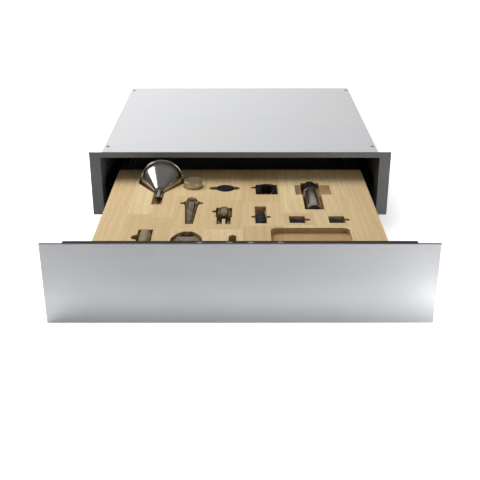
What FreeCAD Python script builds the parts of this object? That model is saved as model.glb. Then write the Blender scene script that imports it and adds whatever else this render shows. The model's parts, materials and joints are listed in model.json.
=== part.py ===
import FreeCAD, Part

import math
import os

# A built-in sommelier drawer, shown open.
# Millimetres, +Z up, +X to the right as seen from the front, +Y into the cabinet.
# The origin is the middle of the carcass's underside.
# Everything that rides in the drawer is placed by its distance behind the front panel's face.

# Carcass
CARCASS_DEPTH = 545.0
CARCASS_HEIGHT = 125.0
SHEET = 1.0
LIP_WIDTH = 14.0
LIP_SETBACK = 50.0
REAR_SCREW_INSET = 25.0

# Front frame of the carcass
FRAME_WIDTH = 590.0
FRAME_LEG = 21.6
FRAME_TOP_STRIP = 11.0
FRAME_SHEET = 1.5
FRAME_RETURN = 46.5
RETURN_SHEET = 1.2
FRAME_FOOT_GAP = 3.4

# Front panel, its folded rim and the inner front behind it
PANEL_WIDTH = 597.0
PANEL_HEIGHT = 135.0
PANEL_SHEET = 1.2
PANEL_RIM = 3.0
PANEL_EDGE_RADIUS = 0.8
CLOSED_GAP = 4.0
INNER_FRONT_SIDE_PLAY = 2.4
INNER_FRONT_TOP_PLAY = 1.5
INNER_FRONT_BASE = 6.0
INNER_FRONT_DEPTH = 35.5
INNER_FRONT_SHEET = 1.2
PANEL_SCREW_SPREADS = (16.5, 61.5)
PANEL_SCREW_SETBACK = 29.5
PANEL_SCREW_RADIUS = 4.0
PANEL_SCREW_HEAD = 0.9
TAB_WIDTH = 18.0
TAB_DEPTH = 36.0
TAB_SHEET = 1.5

# Travel of the drawer: the length of tray that stays inside, and the shares of the travel that the
# runners' middle members and ball cages make
TRAY_KEPT_INSIDE = 18.5
OUTER_CAGE_SHARE = 0.25
MIDDLE_SHARE = 0.5
INNER_CAGE_SHARE = 0.75

# Tray, bearers and board
TRAY_BASE = 8.0
TRAY_HEIGHT = 48.0
TRAY_SHEET = 1.0
TRAY_REAR_ROOM = 109.5
TRAY_BEND = 2.0
TRAY_SCREW_SPREAD = 73.0
TRAY_SCREW_SETBACK = 48.5
BEARER_WIDTH = 30.0
BEARER_COUNT = 3
BEARER_SIDE_PLAY = 8.0
BEARER_SETBACK = 15.0
BOARD_OVERHANG = 1.5
BOARD_TOP = 82.0
BOARD_THICKNESS = 50.0
BOARD_END_PLAY = 3.5
BOARD_BEVEL = 1.0
RIM_PLAY = 0.5

# Staves of the board: X of the glued edges, and the end joints of some, behind the panel's face
STAVE_EDGES = (-200.0, -156.0, -119.0, -61.0, 5.0, 75.0, 128.0, 197.0)
END_JOINTS = {1: (240.0,), 2: (225.0,), 3: (178.0, 328.0), 4: (173.0, 308.0), 5: (188.0, 298.0),
              6: (190.0, 245.0), 7: (186.0, 248.0)}
STAVES_APART = {3: "oak_stave_left", 4: "oak_stave_inner", 5: "oak_stave_middle", 7: "oak_stave_right"}

# Ball runners: sections are given outwards from the tray's side and up from the runner's middle
RUNNER_END_PLAY = 5.5
RUNNER_WIDTH = 12.7
RUNNER_HALF_HEIGHT = 22.5
RUNNER_MIDDLE = 26.5
RUNNER_SHEET = 1.2
MIDDLE_SHEET = 1.6
OUTER_BALL = 2.0
INNER_BALL = 1.5
BALL_PLAY = 0.05
BALL_SIDES = 6
BALL_BELT_SHARE = 0.87
CAGE_HOLE_PLAY = 0.15
GROOVE_DEPTH = 0.3
CAGE_LENGTH = 140.0
CAGE_SHEET = 0.5
CAGE_ARM = 0.8
CAGE_ARM_SHARE = 1.4
CAGE_START = 110.0
CAGE_OUTER_PLAY = 0.25
CAGE_INNER_PLAY = 0.35
INNER_CAGE_PLAY = 0.6
INNER_LINE_SHIFT = 1.3
RUNNER_LIP = 2.2
RUNNER_SCREW_INSET = 51.6
BALL_COUNT = 4
RUNNER_FRONT_PLAY = 2.0
BRACKET_WIDTH = 18.9
BRACKET_SHEET = 1.5
BRACKET_FOOT = 12.0
BRACKET_PLAY = 1.0

# Push latch at the back
LATCH_WIDTH = 34.0
LATCH_HEIGHT = 30.0
LATCH_LENGTH = 68.0
LATCH_BASE_SHEET = 4.2
LATCH_WALL = 3.0
LATCH_EAR = 11.0
PLUNGER_RADIUS = 4.5
PLUNGER_LENGTH = 54.0
PLUNGER_PLAY = 0.05
PLUNGER_TIP = 0.3
SPRING_RADIUS = 3.6
SPRING_BORE = 2.8
STRIKER_WIDTH = 24.0
STRIKER_HEIGHT = 20.0
STRIKER_SHEET = 1.5

# Screws
SCREW_RADIUS = 2.0
SCREW_HEAD_RADIUS = 3.6
SCREW_HEAD = 1.8
SCREW_LENGTH = 5.0
SCREW_PLAY = 0.1
SCREW_SIDES = 8

# Fixing holes in the carcass walls
FIXING_RADIUS = 2.25
FIXING_SETBACK = 62.0
FIXING_LOW = 72.0
FIXING_SPREAD = 36.0

# How tools sit in the board
SEAT = 0.3
TOOL_ROOM = 1.8
NARROW_ROOM = 0.9
CORNER = 3.0
EDGE = 1.0
FINGER_REACH = 9.0
NOTCH_WIDTH = 9.0
NOTCH_DEPTH = 8.0

# Flat sides that turned pieces get, by size
LARGE_SIDES = 32
MEDIUM_SIDES = 24
SMALL_SIDES = 12
HORSESHOE_SIDES = 8

# Places of the tools: X, and distances behind the panel's face
FUNNEL_X = -152.7
FUNNEL_MOUTH = 418.0
FUNNEL_AXIS = 81.0
FUNNEL_RADIUS = 40.0
FUNNEL_WALL = 1.0
FUNNEL_COLLAR = 17.0
FUNNEL_SLOPE = 0.62
FUNNEL_SHOULDER = 3.0
FUNNEL_DRAFT = 0.6
FUNNEL_BEAD = 1.4
FUNNEL_SPOUT_RADIUS = 7.5
FUNNEL_TIP_RADIUS = 6.5
FUNNEL_SPOUT = 38.0
FUNNEL_ROOM = 5.5
RECESS_SLOPE = 0.67
FUNNEL_MOUTH_ROOM = 3.0
SPOUT_POCKET_RADIUS = 9.5
SPOUT_POCKET_RUN = 25.0

ROUND_STOPPER_X = -90.0
ROUND_STOPPER_PLACE = 378.0
ROUND_STOPPER_RADIUS = 18.0
ROUND_STOPPER_PROUD = 12.6
ROUND_STOPPER_CAP = 18.0
ROUND_STOPPER_PLUG_RADIUS = 9.5
ROUND_STOPPER_PLUG = 26.0

RING_STOPPER_X = -27.7
RING_STOPPER_PLACE = 367.0
RING_STOPPER_RADIUS = 17.3
RING_STOPPER_RING = 6.5
RING_STOPPER_BAND = 1.6
RING_STOPPER_SUNK = 0.5
RING_STOPPER_DOME = 4.0
RING_STOPPER_STEM_RADIUS = 10.0
RING_STOPPER_STEM = 22.0
FINGER_SLOT_LENGTH = 59.0
FINGER_SLOT_WIDTH = 16.0
FINGER_SLOT_DEPTH = 9.0
FINGER_SLOT_SHIFT = 1.8

FOIL_CUTTER_X = 50.5
FOIL_CUTTER_NEAR = 338.0
FOIL_CUTTER_LENGTH = 46.0
FOIL_CUTTER_WIDTH = 38.0
FOIL_CUTTER_GAP = 20.0
FOIL_CUTTER_THICKNESS = 16.0
FOIL_CUTTER_PROUD = 2.5
FOIL_CUTTER_STEP = 1.5
FOIL_CUTTER_GRIP = 14.0
WHEEL_RADIUS = 5.0
WHEEL_THICKNESS = 1.2
WHEEL_REACH = 2.5
WHEEL_SHARES = (0.16, 0.42)
WHEEL_PLAY = 0.3
WHEEL_AXLE = 1.2

PUMP_X = 134.5
PUMP_NEAR = 263.0
PUMP_AXIS = 74.5
PUMP_RADIUS = 14.5
PUMP_SEAL = 4.0
PUMP_BARREL = 92.0
PUMP_HANDLE = 32.0
PUMP_ROOM = 3.0
PUMP_GRIP_STEP = 0.8
PUMP_GROOVE = 1.5
PUMP_GROOVE_SHARES = (0.4, 0.6)
SCOOP_SHIFT = 4.0
SCOOP_WIDTH = 67.0
SCOOP_RADIUS = 32.0
SCOOP_DEPTH = 12.0

CONE_X = -88.0
CONE_NEAR = 197.0
CONE_AXIS = 80.0
CONE_TIP_RADIUS = 5.0
CONE_BODY_RADIUS = 10.0
CONE_HEAD_RADIUS = 12.2
CONE_BODY = 87.0
CONE_HEAD = 14.0

ARM_STOPPER_X = -28.5
ARM_STOPPER_NEAR = 227.0
ARM_STOPPER_AXIS = 77.0
ARM_STOPPER_RADIUS = 12.5
ARM_STOPPER_LENGTH = 40.0
ARM_SPREAD = 7.5
ARM_WIDTH = 5.5
ARM_THICKNESS = 4.0
ARM_LENGTH = 31.0
ARM_SEAL_RADIUS = 4.0
ARM_SEAL = 7.0
ARM_STOPPER_SKIRT = 24.8
ARM_STOPPER_DOME = 10.0
ARM_HOOK = 1.0

POURER_X = 36.8
POURER_NEAR = 200.0
POURER_AXIS = 78.0
POURER_RADIUS = 8.5
POURER_LENGTH = 45.0
POURER_POCKET_LENGTH = 75.0
POURER_NOTCH = 27.0

SHORT_STOPPER_XS = (100.0, 169.0)
SHORT_STOPPER_NAMES = ("short_stopper_left", "short_stopper_right")
SHORT_STOPPER_PLACE = 215.0
SHORT_STOPPER_AXIS = 71.0
SHORT_STOPPER_RADIUS = 13.0
SHORT_STOPPER_NECK = 10.5
SHORT_STOPPER_LENGTH = 24.0
SHORT_STOPPER_HEAD = 7.0

THERMOMETER_X = -159.5
THERMOMETER_NEAR = 50.0
THERMOMETER_AXIS = 79.0
THERMOMETER_RADIUS = 9.0
THERMOMETER_LENGTH = 118.0
THERMOMETER_COLLAR = 14.0
THERMOMETER_ROOM = 3.5
SIDE_SCOOP_RADIUS = 9.5
SIDE_SCOOP_PLACE = 140.5
SIDE_SCOOP_DEPTH = 10.0

CORKSCREW_X = -89.0
CORKSCREW_NEAR = 48.0
CORKSCREW_AXIS = 76.0
BELL_RADIUS = 15.5
BELL_WALL = 1.8
BELL_LENGTH = 24.0
FRAME_ARM_SPREAD = 8.0
FRAME_ARM_WIDTH = 3.5
FRAME_ARM_THICKNESS = 10.0
HEAD_PLACE = 87.0
HEAD_LENGTH = 20.0
GEAR_SPREAD = 13.3
GEAR_RADIUS = 11.2
TOOTH_COUNT = 20
TOOTH_DEPTH = 1.3
TOOTH_TIP_SHARE = 0.13
TOOTH_ROOT_SHARE = 0.3
RING_COUNT_NEAR = 6
RING_COUNT_FAR = 3
RACK_RING_SHARE = 0.38
RACK_DEPTH = 0.9
PIVOT_RADIUS = 2.0
PIVOT_PLAY = 0.05
LEVER_THICKNESS = 5.0
LEVER_WIDTH = 8.0
LEVER_REACH = 76.0
LEVER_PLAY = 0.4
SHOULDER_SHARE = 0.6
SPINDLE_RADIUS = 2.8
SPINDLE_PROUD = 6.0
KNOB_RADIUS = 5.0
KNOB_LENGTH = 11.0
WORM_RADIUS = 3.2
WORM_WIRE = 1.3
WORM_PITCH = 9.0
TURN_COUNT = 4
STEP_COUNT = 8
WORM_SIDES = 5
WORM_START = 14.0
WORM_POINT_SHARE = 0.25

NARROW_SLOT_X = -12.5
NARROW_SLOT_WIDTH = 13.0
NARROW_SLOT_NEAR = 98.0
NARROW_SLOT_FAR = 149.0
NARROW_SLOT_DEPTH = 12.0

RECESS_LEFT = 52.0
RECESS_RIGHT = 186.0
RECESS_NEAR = 105.0
RECESS_FAR = 179.0
RECESS_DEPTH = 9.0
RECESS_CORNER = 12.0

# Sizes that follow from the ones above
CARCASS_FRONT = -CARCASS_DEPTH / 2
CARCASS_BACK = CARCASS_DEPTH / 2
OPENING_TOP = CARCASS_HEIGHT - SHEET
OPENING_HALF = FRAME_WIDTH / 2 - FRAME_LEG
WALL_INNER = OPENING_HALF + RETURN_SHEET
WALL_OUTER = WALL_INNER + SHEET
FRAME_FACE = CARCASS_FRONT - FRAME_SHEET
TRAY_LENGTH = CARCASS_DEPTH - TRAY_REAR_ROOM
RUNNER_LENGTH = TRAY_LENGTH - RUNNER_END_PLAY
OPEN_TRAVEL = TRAY_LENGTH - TRAY_KEPT_INSIDE
CLOSED_FACE = FRAME_FACE - CLOSED_GAP - PANEL_RIM
OPEN_FACE = CLOSED_FACE - OPEN_TRAVEL
INNER_FRONT_BACK = PANEL_RIM + INNER_FRONT_DEPTH
INNER_FRONT_HALF = OPENING_HALF - INNER_FRONT_SIDE_PLAY
INNER_FRONT_TOP = OPENING_TOP - INNER_FRONT_TOP_PLAY
TRAY_BACK = INNER_FRONT_BACK + TRAY_LENGTH
TRAY_TOP = TRAY_BASE + TRAY_HEIGHT
TRAY_FLOOR = TRAY_BASE + TRAY_SHEET
BOARD_BASE = BOARD_TOP - BOARD_THICKNESS
BOARD_FRONT = INNER_FRONT_BACK + TRAY_SHEET + BOARD_END_PLAY
BOARD_BACK = TRAY_BACK - TRAY_SHEET - RIM_PLAY
RUNNER_START = INNER_FRONT_BACK - CLOSED_GAP - PANEL_RIM + RUNNER_FRONT_PLAY
BRACKET_FACE = WALL_INNER - BRACKET_WIDTH
TRAY_HALF = BRACKET_FACE - RUNNER_WIDTH
TRAY_INNER_HALF = TRAY_HALF - TRAY_SHEET
BOARD_HALF = TRAY_HALF + BOARD_OVERHANG

UP = FreeCAD.Vector(0, 0, 1)
RIGHT = FreeCAD.Vector(1, 0, 0)
BACK = FreeCAD.Vector(0, 1, 0)

sub_parts = {}


def at(distance):
    """Y of a place in the open drawer, from its distance behind the front panel's face."""
    return OPEN_FACE + distance


def block(x_range, y_range, z_range):
    """A box between two X, two Y and two Z values."""
    size = [pair[1] - pair[0] for pair in (x_range, y_range, z_range)]
    return Part.makeBox(*size, FreeCAD.Vector(x_range[0], y_range[0], z_range[0]))


def rod(x, y, z, radius, length, axis=UP):
    return Part.makeCylinder(radius, length, FreeCAD.Vector(x, y, z), axis)


def outline(points, place):
    """A closed wire through pairs, put in space by the place function."""
    loop = [points[0]]
    for point in points[1:]:
        if math.dist(point, loop[-1]) > 1e-6:
            loop.append(point)
    if math.dist(loop[0], loop[-1]) < 1e-6:
        loop.pop()
    return Part.makePolygon([place(*point) for point in loop + loop[:1]])


def bow(start, middle, end, count=4):
    """Pairs along the arc through three pairs."""
    arc = Part.Arc(*[FreeCAD.Vector(u, v, 0) for u, v in (start, middle, end)]).toShape()
    return [(round(p.x, 6), round(p.y, 6)) for p in arc.discretize(Number=count + 1)]


def spun(profile, x, y, z, axis=UP, sides=MEDIUM_SIDES):
    """A turned solid with flat sides. The profile is a loop of (radius, distance along the axis) pairs."""
    turn = FreeCAD.Placement(FreeCAD.Vector(x, y, z), FreeCAD.Rotation(UP, axis))

    def corner(pair, k):
        angle = 2 * math.pi * (k % sides) / sides
        return turn.multVec(FreeCAD.Vector(pair[0] * math.cos(angle), pair[0] * math.sin(angle), pair[1]))

    faces = []
    for first, second in zip(profile, profile[1:] + profile[:1]):
        if first[0] == 0 and second[0] == 0:
            continue
        for k in range(sides):
            ring = [corner(first, k), corner(first, k + 1), corner(second, k + 1), corner(second, k)]
            if first[0] == 0:
                ring.pop(1)
            elif second[0] == 0:
                ring.pop(2)
            faces.append(Part.Face(Part.makePolygon(ring + ring[:1])))
    solid = Part.makeSolid(Part.makeShell(faces)).removeSplitter()
    if solid.Volume < 0:
        solid.reverse()
    return solid


def dome(radius, base, height, count=3):
    """The rounded end of a turned piece, from its rim to its axis."""
    ball = (radius ** 2 + height ** 2) / (2 * height)
    middle = base + height - ball + math.sqrt(ball ** 2 - radius ** 2 / 4)
    return bow((radius, base), (radius / 2, middle), (0, base + height), count)


def plate(points, z_range):
    """A flat shape in X and Y, raised from the lower to the upper Z."""
    low, high = z_range
    wire = outline(points, lambda x, y: FreeCAD.Vector(x, y, low))
    return Part.Face(wire).extrude(UP * (high - low))


def beam(points, y_range, mirror=1):
    """A section in X and Z, run along Y. A mirror of -1 puts it on the left."""
    low, high = y_range
    wire = outline(points, lambda x, z: FreeCAD.Vector(mirror * x, low, z))
    return Part.Face(wire).extrude(BACK * (high - low))


def rounded(x_range, y_range, z_range, radius, count=3):
    """A box whose four upright edges are rounded in a few flats."""
    (x0, x1), (y0, y1) = x_range, y_range
    corners = [(x1 - radius, y1 - radius), (x0 + radius, y1 - radius), (x0 + radius, y0 + radius),
               (x1 - radius, y0 + radius)]
    points = []
    for quarter, (x, y) in enumerate(corners):
        for k in range(count + 1):
            angle = math.pi / 2 * (quarter + k / count)
            points.append((x + radius * math.cos(angle), y + radius * math.sin(angle)))
    return plate(points, z_range)


def slot(x_range, y_range, z_range):
    """A round-ended slot along its longer side."""
    radius = min(x_range[1] - x_range[0], y_range[1] - y_range[0]) / 2
    return rounded(x_range, y_range, z_range, radius)


def trough(x, y_range, bottom, radius):
    """A round-bottomed groove along Y, open at the board's top."""
    middle = bottom + radius
    length = y_range[1] - y_range[0]
    groove = bar(x, y_range[0], middle, radius, length, BACK)
    if middle < BOARD_TOP:
        groove = groove.fuse(block((x - radius, x + radius), y_range, (middle, BOARD_TOP + 1)))
    return groove


def bar(x, y, z, radius, length, axis=UP, sides=MEDIUM_SIDES):
    """A straight round bar with flat sides."""
    return spun([(0, 0), (radius, 0), (radius, length), (0, length)], x, y, z, axis, sides)


def screw(x, y, z, axis):
    """A low-headed screw whose head stands out along the axis from the point given."""
    profile = [(0, -SCREW_LENGTH), (SCREW_RADIUS, -SCREW_LENGTH), (SCREW_RADIUS, 0), (SCREW_HEAD_RADIUS, 0),
               (SCREW_HEAD_RADIUS, SCREW_HEAD), (0, SCREW_HEAD)]
    return spun(profile, x, y, z, axis, SCREW_SIDES)


def screw_hole(x, y, z, axis):
    """The clearance hole for such a screw."""
    start = FreeCAD.Vector(x, y, z) + axis * SCREW_PLAY
    return bar(*start, SCREW_RADIUS + SCREW_PLAY, SCREW_LENGTH + 2 * SCREW_PLAY, axis * -1, SCREW_SIDES)


def cut_all(solid, cutters):
    for cutter in cutters:
        solid = solid.cut(cutter)
    return solid


# Screw places that more than one piece needs: (x, y, z, direction of the head)
top_cover_screws = [(side * (WALL_INNER - LIP_WIDTH / 2), y, CARCASS_HEIGHT, UP)
                    for side in (-1, 1)
                    for y in (CARCASS_FRONT + LIP_SETBACK + LIP_WIDTH, CARCASS_BACK - 2 * LIP_WIDTH)]
rear_screws = [(side * (WALL_INNER - LIP_WIDTH / 2), CARCASS_BACK, z, BACK)
               for side in (-1, 1) for z in (REAR_SCREW_INSET, CARCASS_HEIGHT - REAR_SCREW_INSET)]
tray_screws = [(side * spread, at(INNER_FRONT_BACK + TRAY_SHEET), TRAY_BASE + TRAY_HEIGHT / 2, BACK)
               for side in (-1, 1) for spread in (TRAY_SCREW_SPREAD, TRAY_HALF - TRAY_SCREW_SETBACK)]
latch_screws = [(side * (LATCH_WIDTH / 2 + LATCH_EAR / 2), CARCASS_BACK - SHEET - LATCH_LENGTH / 2,
                 SHEET + LATCH_BASE_SHEET, UP) for side in (-1, 1)]
panel_screws = [(side * spread, at(PANEL_SCREW_SETBACK)) for side in (-1, 1)
                for spread in PANEL_SCREW_SPREADS]


def carcass_shell():
    """Floor and side walls in one folded sheet, with lips for the top cover and the rear panel."""
    half, inner, top = WALL_OUTER, WALL_INNER, OPENING_TOP
    section = [(-half, 0), (half, 0), (half, top), (inner, top), (inner, SHEET), (-inner, SHEET),
               (-inner, top), (-half, top)]
    shell = beam(section, (CARCASS_FRONT, CARCASS_BACK - SHEET))
    lip_y = (CARCASS_FRONT + LIP_SETBACK, CARCASS_BACK - SHEET)
    for side in (-1, 1):
        wall, edge = sorted((side * WALL_INNER, side * (WALL_INNER - LIP_WIDTH)))
        shell = shell.fuse(block((wall, edge), lip_y, (OPENING_TOP - SHEET, OPENING_TOP)))
        rear_y = (CARCASS_BACK - 2 * SHEET, CARCASS_BACK - SHEET)
        shell = shell.fuse(block((wall, edge), rear_y, (SHEET, OPENING_TOP - SHEET)))
    shell = shell.removeSplitter()
    cutters = [screw_hole(*place) for place in top_cover_screws + rear_screws + latch_screws]
    y = CARCASS_FRONT + FIXING_SETBACK
    for z in (FIXING_LOW, FIXING_LOW + FIXING_SPREAD):
        cutters += [rod(side * (WALL_INNER - SHEET), y, z, FIXING_RADIUS, 3 * SHEET, RIGHT * side)
                    for side in (-1, 1)]
    return cut_all(shell, cutters)


def front_frame():
    """Two legs and a top strip, with a return that lines each side of the mouth."""
    top = CARCASS_HEIGHT - SHEET + FRAME_TOP_STRIP
    half = FRAME_WIDTH / 2
    front = [(-half, FRAME_FOOT_GAP), (-OPENING_HALF, FRAME_FOOT_GAP), (-OPENING_HALF, OPENING_TOP),
             (OPENING_HALF, OPENING_TOP), (OPENING_HALF, FRAME_FOOT_GAP), (half, FRAME_FOOT_GAP),
             (half, top), (-half, top)]
    frame = beam(front, (FRAME_FACE, CARCASS_FRONT))
    for side in (-1, 1):
        x_range = sorted((side * OPENING_HALF, side * WALL_INNER))
        frame = frame.fuse(block(x_range, (FRAME_FACE, CARCASS_FRONT + FRAME_RETURN),
                                 (FRAME_FOOT_GAP, OPENING_TOP)))
    return frame.removeSplitter()


def top_cover():
    cover = block((-WALL_OUTER, WALL_OUTER), (CARCASS_FRONT, CARCASS_BACK), (OPENING_TOP, CARCASS_HEIGHT))
    return cut_all(cover, [screw_hole(*place) for place in top_cover_screws])


def rear_panel():
    panel = block((-WALL_OUTER, WALL_OUTER), (CARCASS_BACK - SHEET, CARCASS_BACK), (0, OPENING_TOP))
    return cut_all(panel, [screw_hole(*place) for place in rear_screws])


def panel_screw_hole(x, y):
    """The hole for such a screw through the inner front's top and the tab under it."""
    return bar(x, y, INNER_FRONT_TOP - SCREW_LENGTH, SCREW_RADIUS + SCREW_PLAY, 2 * SCREW_LENGTH, UP,
               SCREW_SIDES)


def front_panel():
    """Face sheet with a shallow folded rim and four tabs that the inner front's screws hold."""
    half = PANEL_WIDTH / 2
    panel = block((-half, half), (at(0), at(PANEL_RIM)), (0, PANEL_HEIGHT))
    front_edges = [e for e in panel.Edges if all(abs(v.Y - at(0)) < 1e-6 for v in e.Vertexes)]
    panel = panel.makeFillet(PANEL_EDGE_RADIUS, front_edges)
    inside = half - PANEL_SHEET
    panel = panel.cut(block((-inside, inside), (at(PANEL_SHEET), at(PANEL_RIM) + 1),
                            (PANEL_SHEET, PANEL_HEIGHT - PANEL_SHEET)))
    tab_top = INNER_FRONT_TOP - INNER_FRONT_SHEET
    for x, y in panel_screws:
        tab = block((x - TAB_WIDTH / 2, x + TAB_WIDTH / 2), (at(PANEL_SHEET), at(TAB_DEPTH)),
                    (tab_top - TAB_SHEET, tab_top))
        panel = panel.fuse(tab)
        panel = panel.cut(panel_screw_hole(x, y))
    return panel.removeSplitter()


def inner_front():
    """A folded pan, open towards the panel, that stiffens the front and enters the carcass's mouth."""
    y_range = (at(PANEL_SHEET), at(INNER_FRONT_BACK))
    pan = block((-INNER_FRONT_HALF, INNER_FRONT_HALF), y_range, (INNER_FRONT_BASE, INNER_FRONT_TOP))
    rear_edges = [e for e in pan.Edges if all(abs(v.Y - y_range[1]) < 1e-6 for v in e.Vertexes)]
    pan = pan.makeFillet(INNER_FRONT_SHEET, rear_edges)
    wall = INNER_FRONT_SHEET
    pan = pan.cut(block((-INNER_FRONT_HALF + wall, INNER_FRONT_HALF - wall),
                        (y_range[0] - 1, y_range[1] - wall),
                        (INNER_FRONT_BASE + wall, INNER_FRONT_TOP - wall)))
    holes = [panel_screw_hole(x, y) for x, y in panel_screws]
    return cut_all(pan, holes + [screw_hole(*place) for place in tray_screws])


def panel_screw_heads():
    """Four bright screws that come down through the inner front's top into the panel's tabs."""
    screws = []
    for x, y in panel_screws:
        shank = [(0, -SCREW_LENGTH), (SCREW_RADIUS, -SCREW_LENGTH), (SCREW_RADIUS, 0)]
        head = [(PANEL_SCREW_RADIUS, 0), (PANEL_SCREW_RADIUS, PANEL_SCREW_HEAD / 2),
                (SCREW_RADIUS, PANEL_SCREW_HEAD), (0, PANEL_SCREW_HEAD)]
        screws.append(spun(shank + head, x, y, INNER_FRONT_TOP, UP, SCREW_SIDES))
    return screws


def drawer_tray():
    """Folded steel pan: floor, two sides, front and rear walls."""
    half, inner = TRAY_HALF, TRAY_INNER_HALF
    y_range = (at(INNER_FRONT_BACK), at(TRAY_BACK))
    tray = block((-half, half), y_range, (TRAY_BASE, TRAY_TOP))
    long_edges = [e for e in tray.Edges if all(abs(v.Z - TRAY_BASE) < 1e-6 for v in e.Vertexes)
                  and abs(e.Vertexes[0].X - e.Vertexes[1].X) < 1e-6]
    tray = tray.makeFillet(TRAY_BEND, long_edges)
    hollow = block((-inner, inner), (y_range[0] + TRAY_SHEET, y_range[1] - TRAY_SHEET),
                   (TRAY_FLOOR, TRAY_TOP + 1))
    inner_edges = [e for e in hollow.Edges if all(abs(v.Z - TRAY_FLOOR) < 1e-6 for v in e.Vertexes)
                   and abs(e.Vertexes[0].X - e.Vertexes[1].X) < 1e-6]
    tray = tray.cut(hollow.makeFillet(TRAY_BEND - TRAY_SHEET, inner_edges))
    holes = [screw_hole(*place) for place in tray_screws]
    holes += [screw_hole(*place) for place in inner_runner_screws()]
    return cut_all(tray, holes)


def bearer_places():
    """Near edges of the wooden bearers, spread evenly under the board."""
    first, last = BOARD_FRONT + BEARER_SETBACK, BOARD_BACK - BEARER_SETBACK - BEARER_WIDTH
    return [first + (last - first) * k / (BEARER_COUNT - 1) for k in range(BEARER_COUNT)]


def board_bearers():
    half = TRAY_INNER_HALF - BEARER_SIDE_PLAY
    return [block((-half, half), (at(place), at(place + BEARER_WIDTH)), (TRAY_FLOOR, BOARD_BASE))
            for place in bearer_places()]


def striker_plate():
    half = STRIKER_WIDTH / 2
    z = TRAY_BASE + TRAY_HEIGHT / 2 - STRIKER_HEIGHT / 2
    return block((-half, half), (at(TRAY_BACK), at(TRAY_BACK + STRIKER_SHEET)), (z, z + STRIKER_HEIGHT))


# Ball runners. Heights of the balls' rows and of the faces that they run on
OUTER_ROW = RUNNER_HALF_HEIGHT - RUNNER_SHEET + GROOVE_DEPTH - BALL_PLAY - OUTER_BALL
MIDDLE_TOP = OUTER_ROW - OUTER_BALL - BALL_PLAY + GROOVE_DEPTH
INNER_ROW = MIDDLE_TOP - MIDDLE_SHEET + GROOVE_DEPTH - BALL_PLAY - INNER_BALL
INNER_TOP = INNER_ROW - INNER_BALL - BALL_PLAY + GROOVE_DEPTH
# Distances outwards from the tray's side
OUTER_WEB = RUNNER_WIDTH - RUNNER_SHEET
OUTER_CAGE_WEB = OUTER_WEB - CAGE_SHEET - CAGE_OUTER_PLAY
MIDDLE_WEB = OUTER_CAGE_WEB - CAGE_INNER_PLAY - RUNNER_SHEET
INNER_CAGE_WEB = MIDDLE_WEB - INNER_CAGE_PLAY - CAGE_SHEET
OUTER_BALL_LINE = RUNNER_WIDTH / 2
INNER_BALL_LINE = RUNNER_WIDTH / 2 - INNER_LINE_SHIFT


def channel(web, far, top, sheet, lip, y_range, side):
    """A C-shaped member: web and two flanges, given outwards from the tray's side."""
    inner = top - sheet
    base = TRAY_HALF
    points = [(web, top), (web, -top), (far, -top), (far, -inner), (lip, -inner), (lip, inner), (far, inner),
              (far, top)]
    return beam([(base + u, RUNNER_MIDDLE + z) for u, z in points], y_range, side)


def groove(line, row, ball, y_range, side):
    """The two ball races at a row, as rods to cut."""
    x = side * (TRAY_HALF + line)
    radius = ball + BALL_PLAY
    length = y_range[1] - y_range[0]
    return [rod(x, y_range[0] - 1, RUNNER_MIDDLE + sign * row, radius, length + 2, BACK) for sign in (-1, 1)]


def runner_y(share):
    """Start and end of a runner member at rest, from the share of the drawer's travel that it makes."""
    start = CARCASS_FRONT + RUNNER_START - share * OPEN_TRAVEL
    return (start, start + RUNNER_LENGTH)


def runner_screw_places(share):
    start, end = runner_y(share)
    return [start + RUNNER_SCREW_INSET, end - RUNNER_SCREW_INSET]


def inner_runner_screws():
    x = TRAY_HALF + RUNNER_SHEET
    return [(side * x, y, RUNNER_MIDDLE, RIGHT * side) for side in (-1, 1) for y in runner_screw_places(1)]


def outer_runner_screws():
    """Flush screws through the outer member's web into the bracket."""
    x = TRAY_HALF + OUTER_WEB
    return [(side * x, y, RUNNER_MIDDLE, RIGHT * side) for side in (-1, 1) for y in runner_screw_places(0)]


def flush_screw(x, y, z, axis, play=0.0):
    """A countersunk screw whose flat head lies in the sheet; play widens it into its hole."""
    profile = [(0, 0), (SCREW_HEAD_RADIUS + play, 0), (SCREW_RADIUS + play, RUNNER_SHEET),
               (SCREW_RADIUS + play, SCREW_LENGTH + play), (0, SCREW_LENGTH + play)]
    return spun(profile, x, y, z, axis, SCREW_SIDES)


def outer_runner(side):
    y_range = runner_y(0)
    member = channel(RUNNER_WIDTH, RUNNER_LIP, RUNNER_HALF_HEIGHT, RUNNER_SHEET, OUTER_WEB, y_range, side)
    cutters = groove(OUTER_BALL_LINE, OUTER_ROW, OUTER_BALL, y_range, side)
    cutters += [flush_screw(*place, play=SCREW_PLAY) for place in outer_runner_screws()
                if place[0] * side > 0]
    return cut_all(member, cutters)


def middle_runner(side):
    y_range = runner_y(MIDDLE_SHARE)
    outer_side = MIDDLE_WEB + RUNNER_SHEET
    member = channel(outer_side, RUNNER_LIP, MIDDLE_TOP, MIDDLE_SHEET, MIDDLE_WEB, y_range, side)
    cutters = groove(OUTER_BALL_LINE, OUTER_ROW, OUTER_BALL, y_range, side)
    cutters += groove(INNER_BALL_LINE, INNER_ROW, INNER_BALL, y_range, side)
    return cut_all(member, cutters)


def inner_runner(side):
    """The drawer member: its web lies on the tray's side and its flanges point outwards."""
    y_range = runner_y(1)
    far = INNER_CAGE_WEB - INNER_CAGE_PLAY
    member = channel(0, far, INNER_TOP, RUNNER_SHEET, RUNNER_SHEET, y_range, side)
    cutters = groove(INNER_BALL_LINE, INNER_ROW, INNER_BALL, y_range, side)
    cutters += [screw_hole(*place) for place in inner_runner_screws() if place[0] * side > 0]
    return cut_all(member, cutters)


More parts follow.
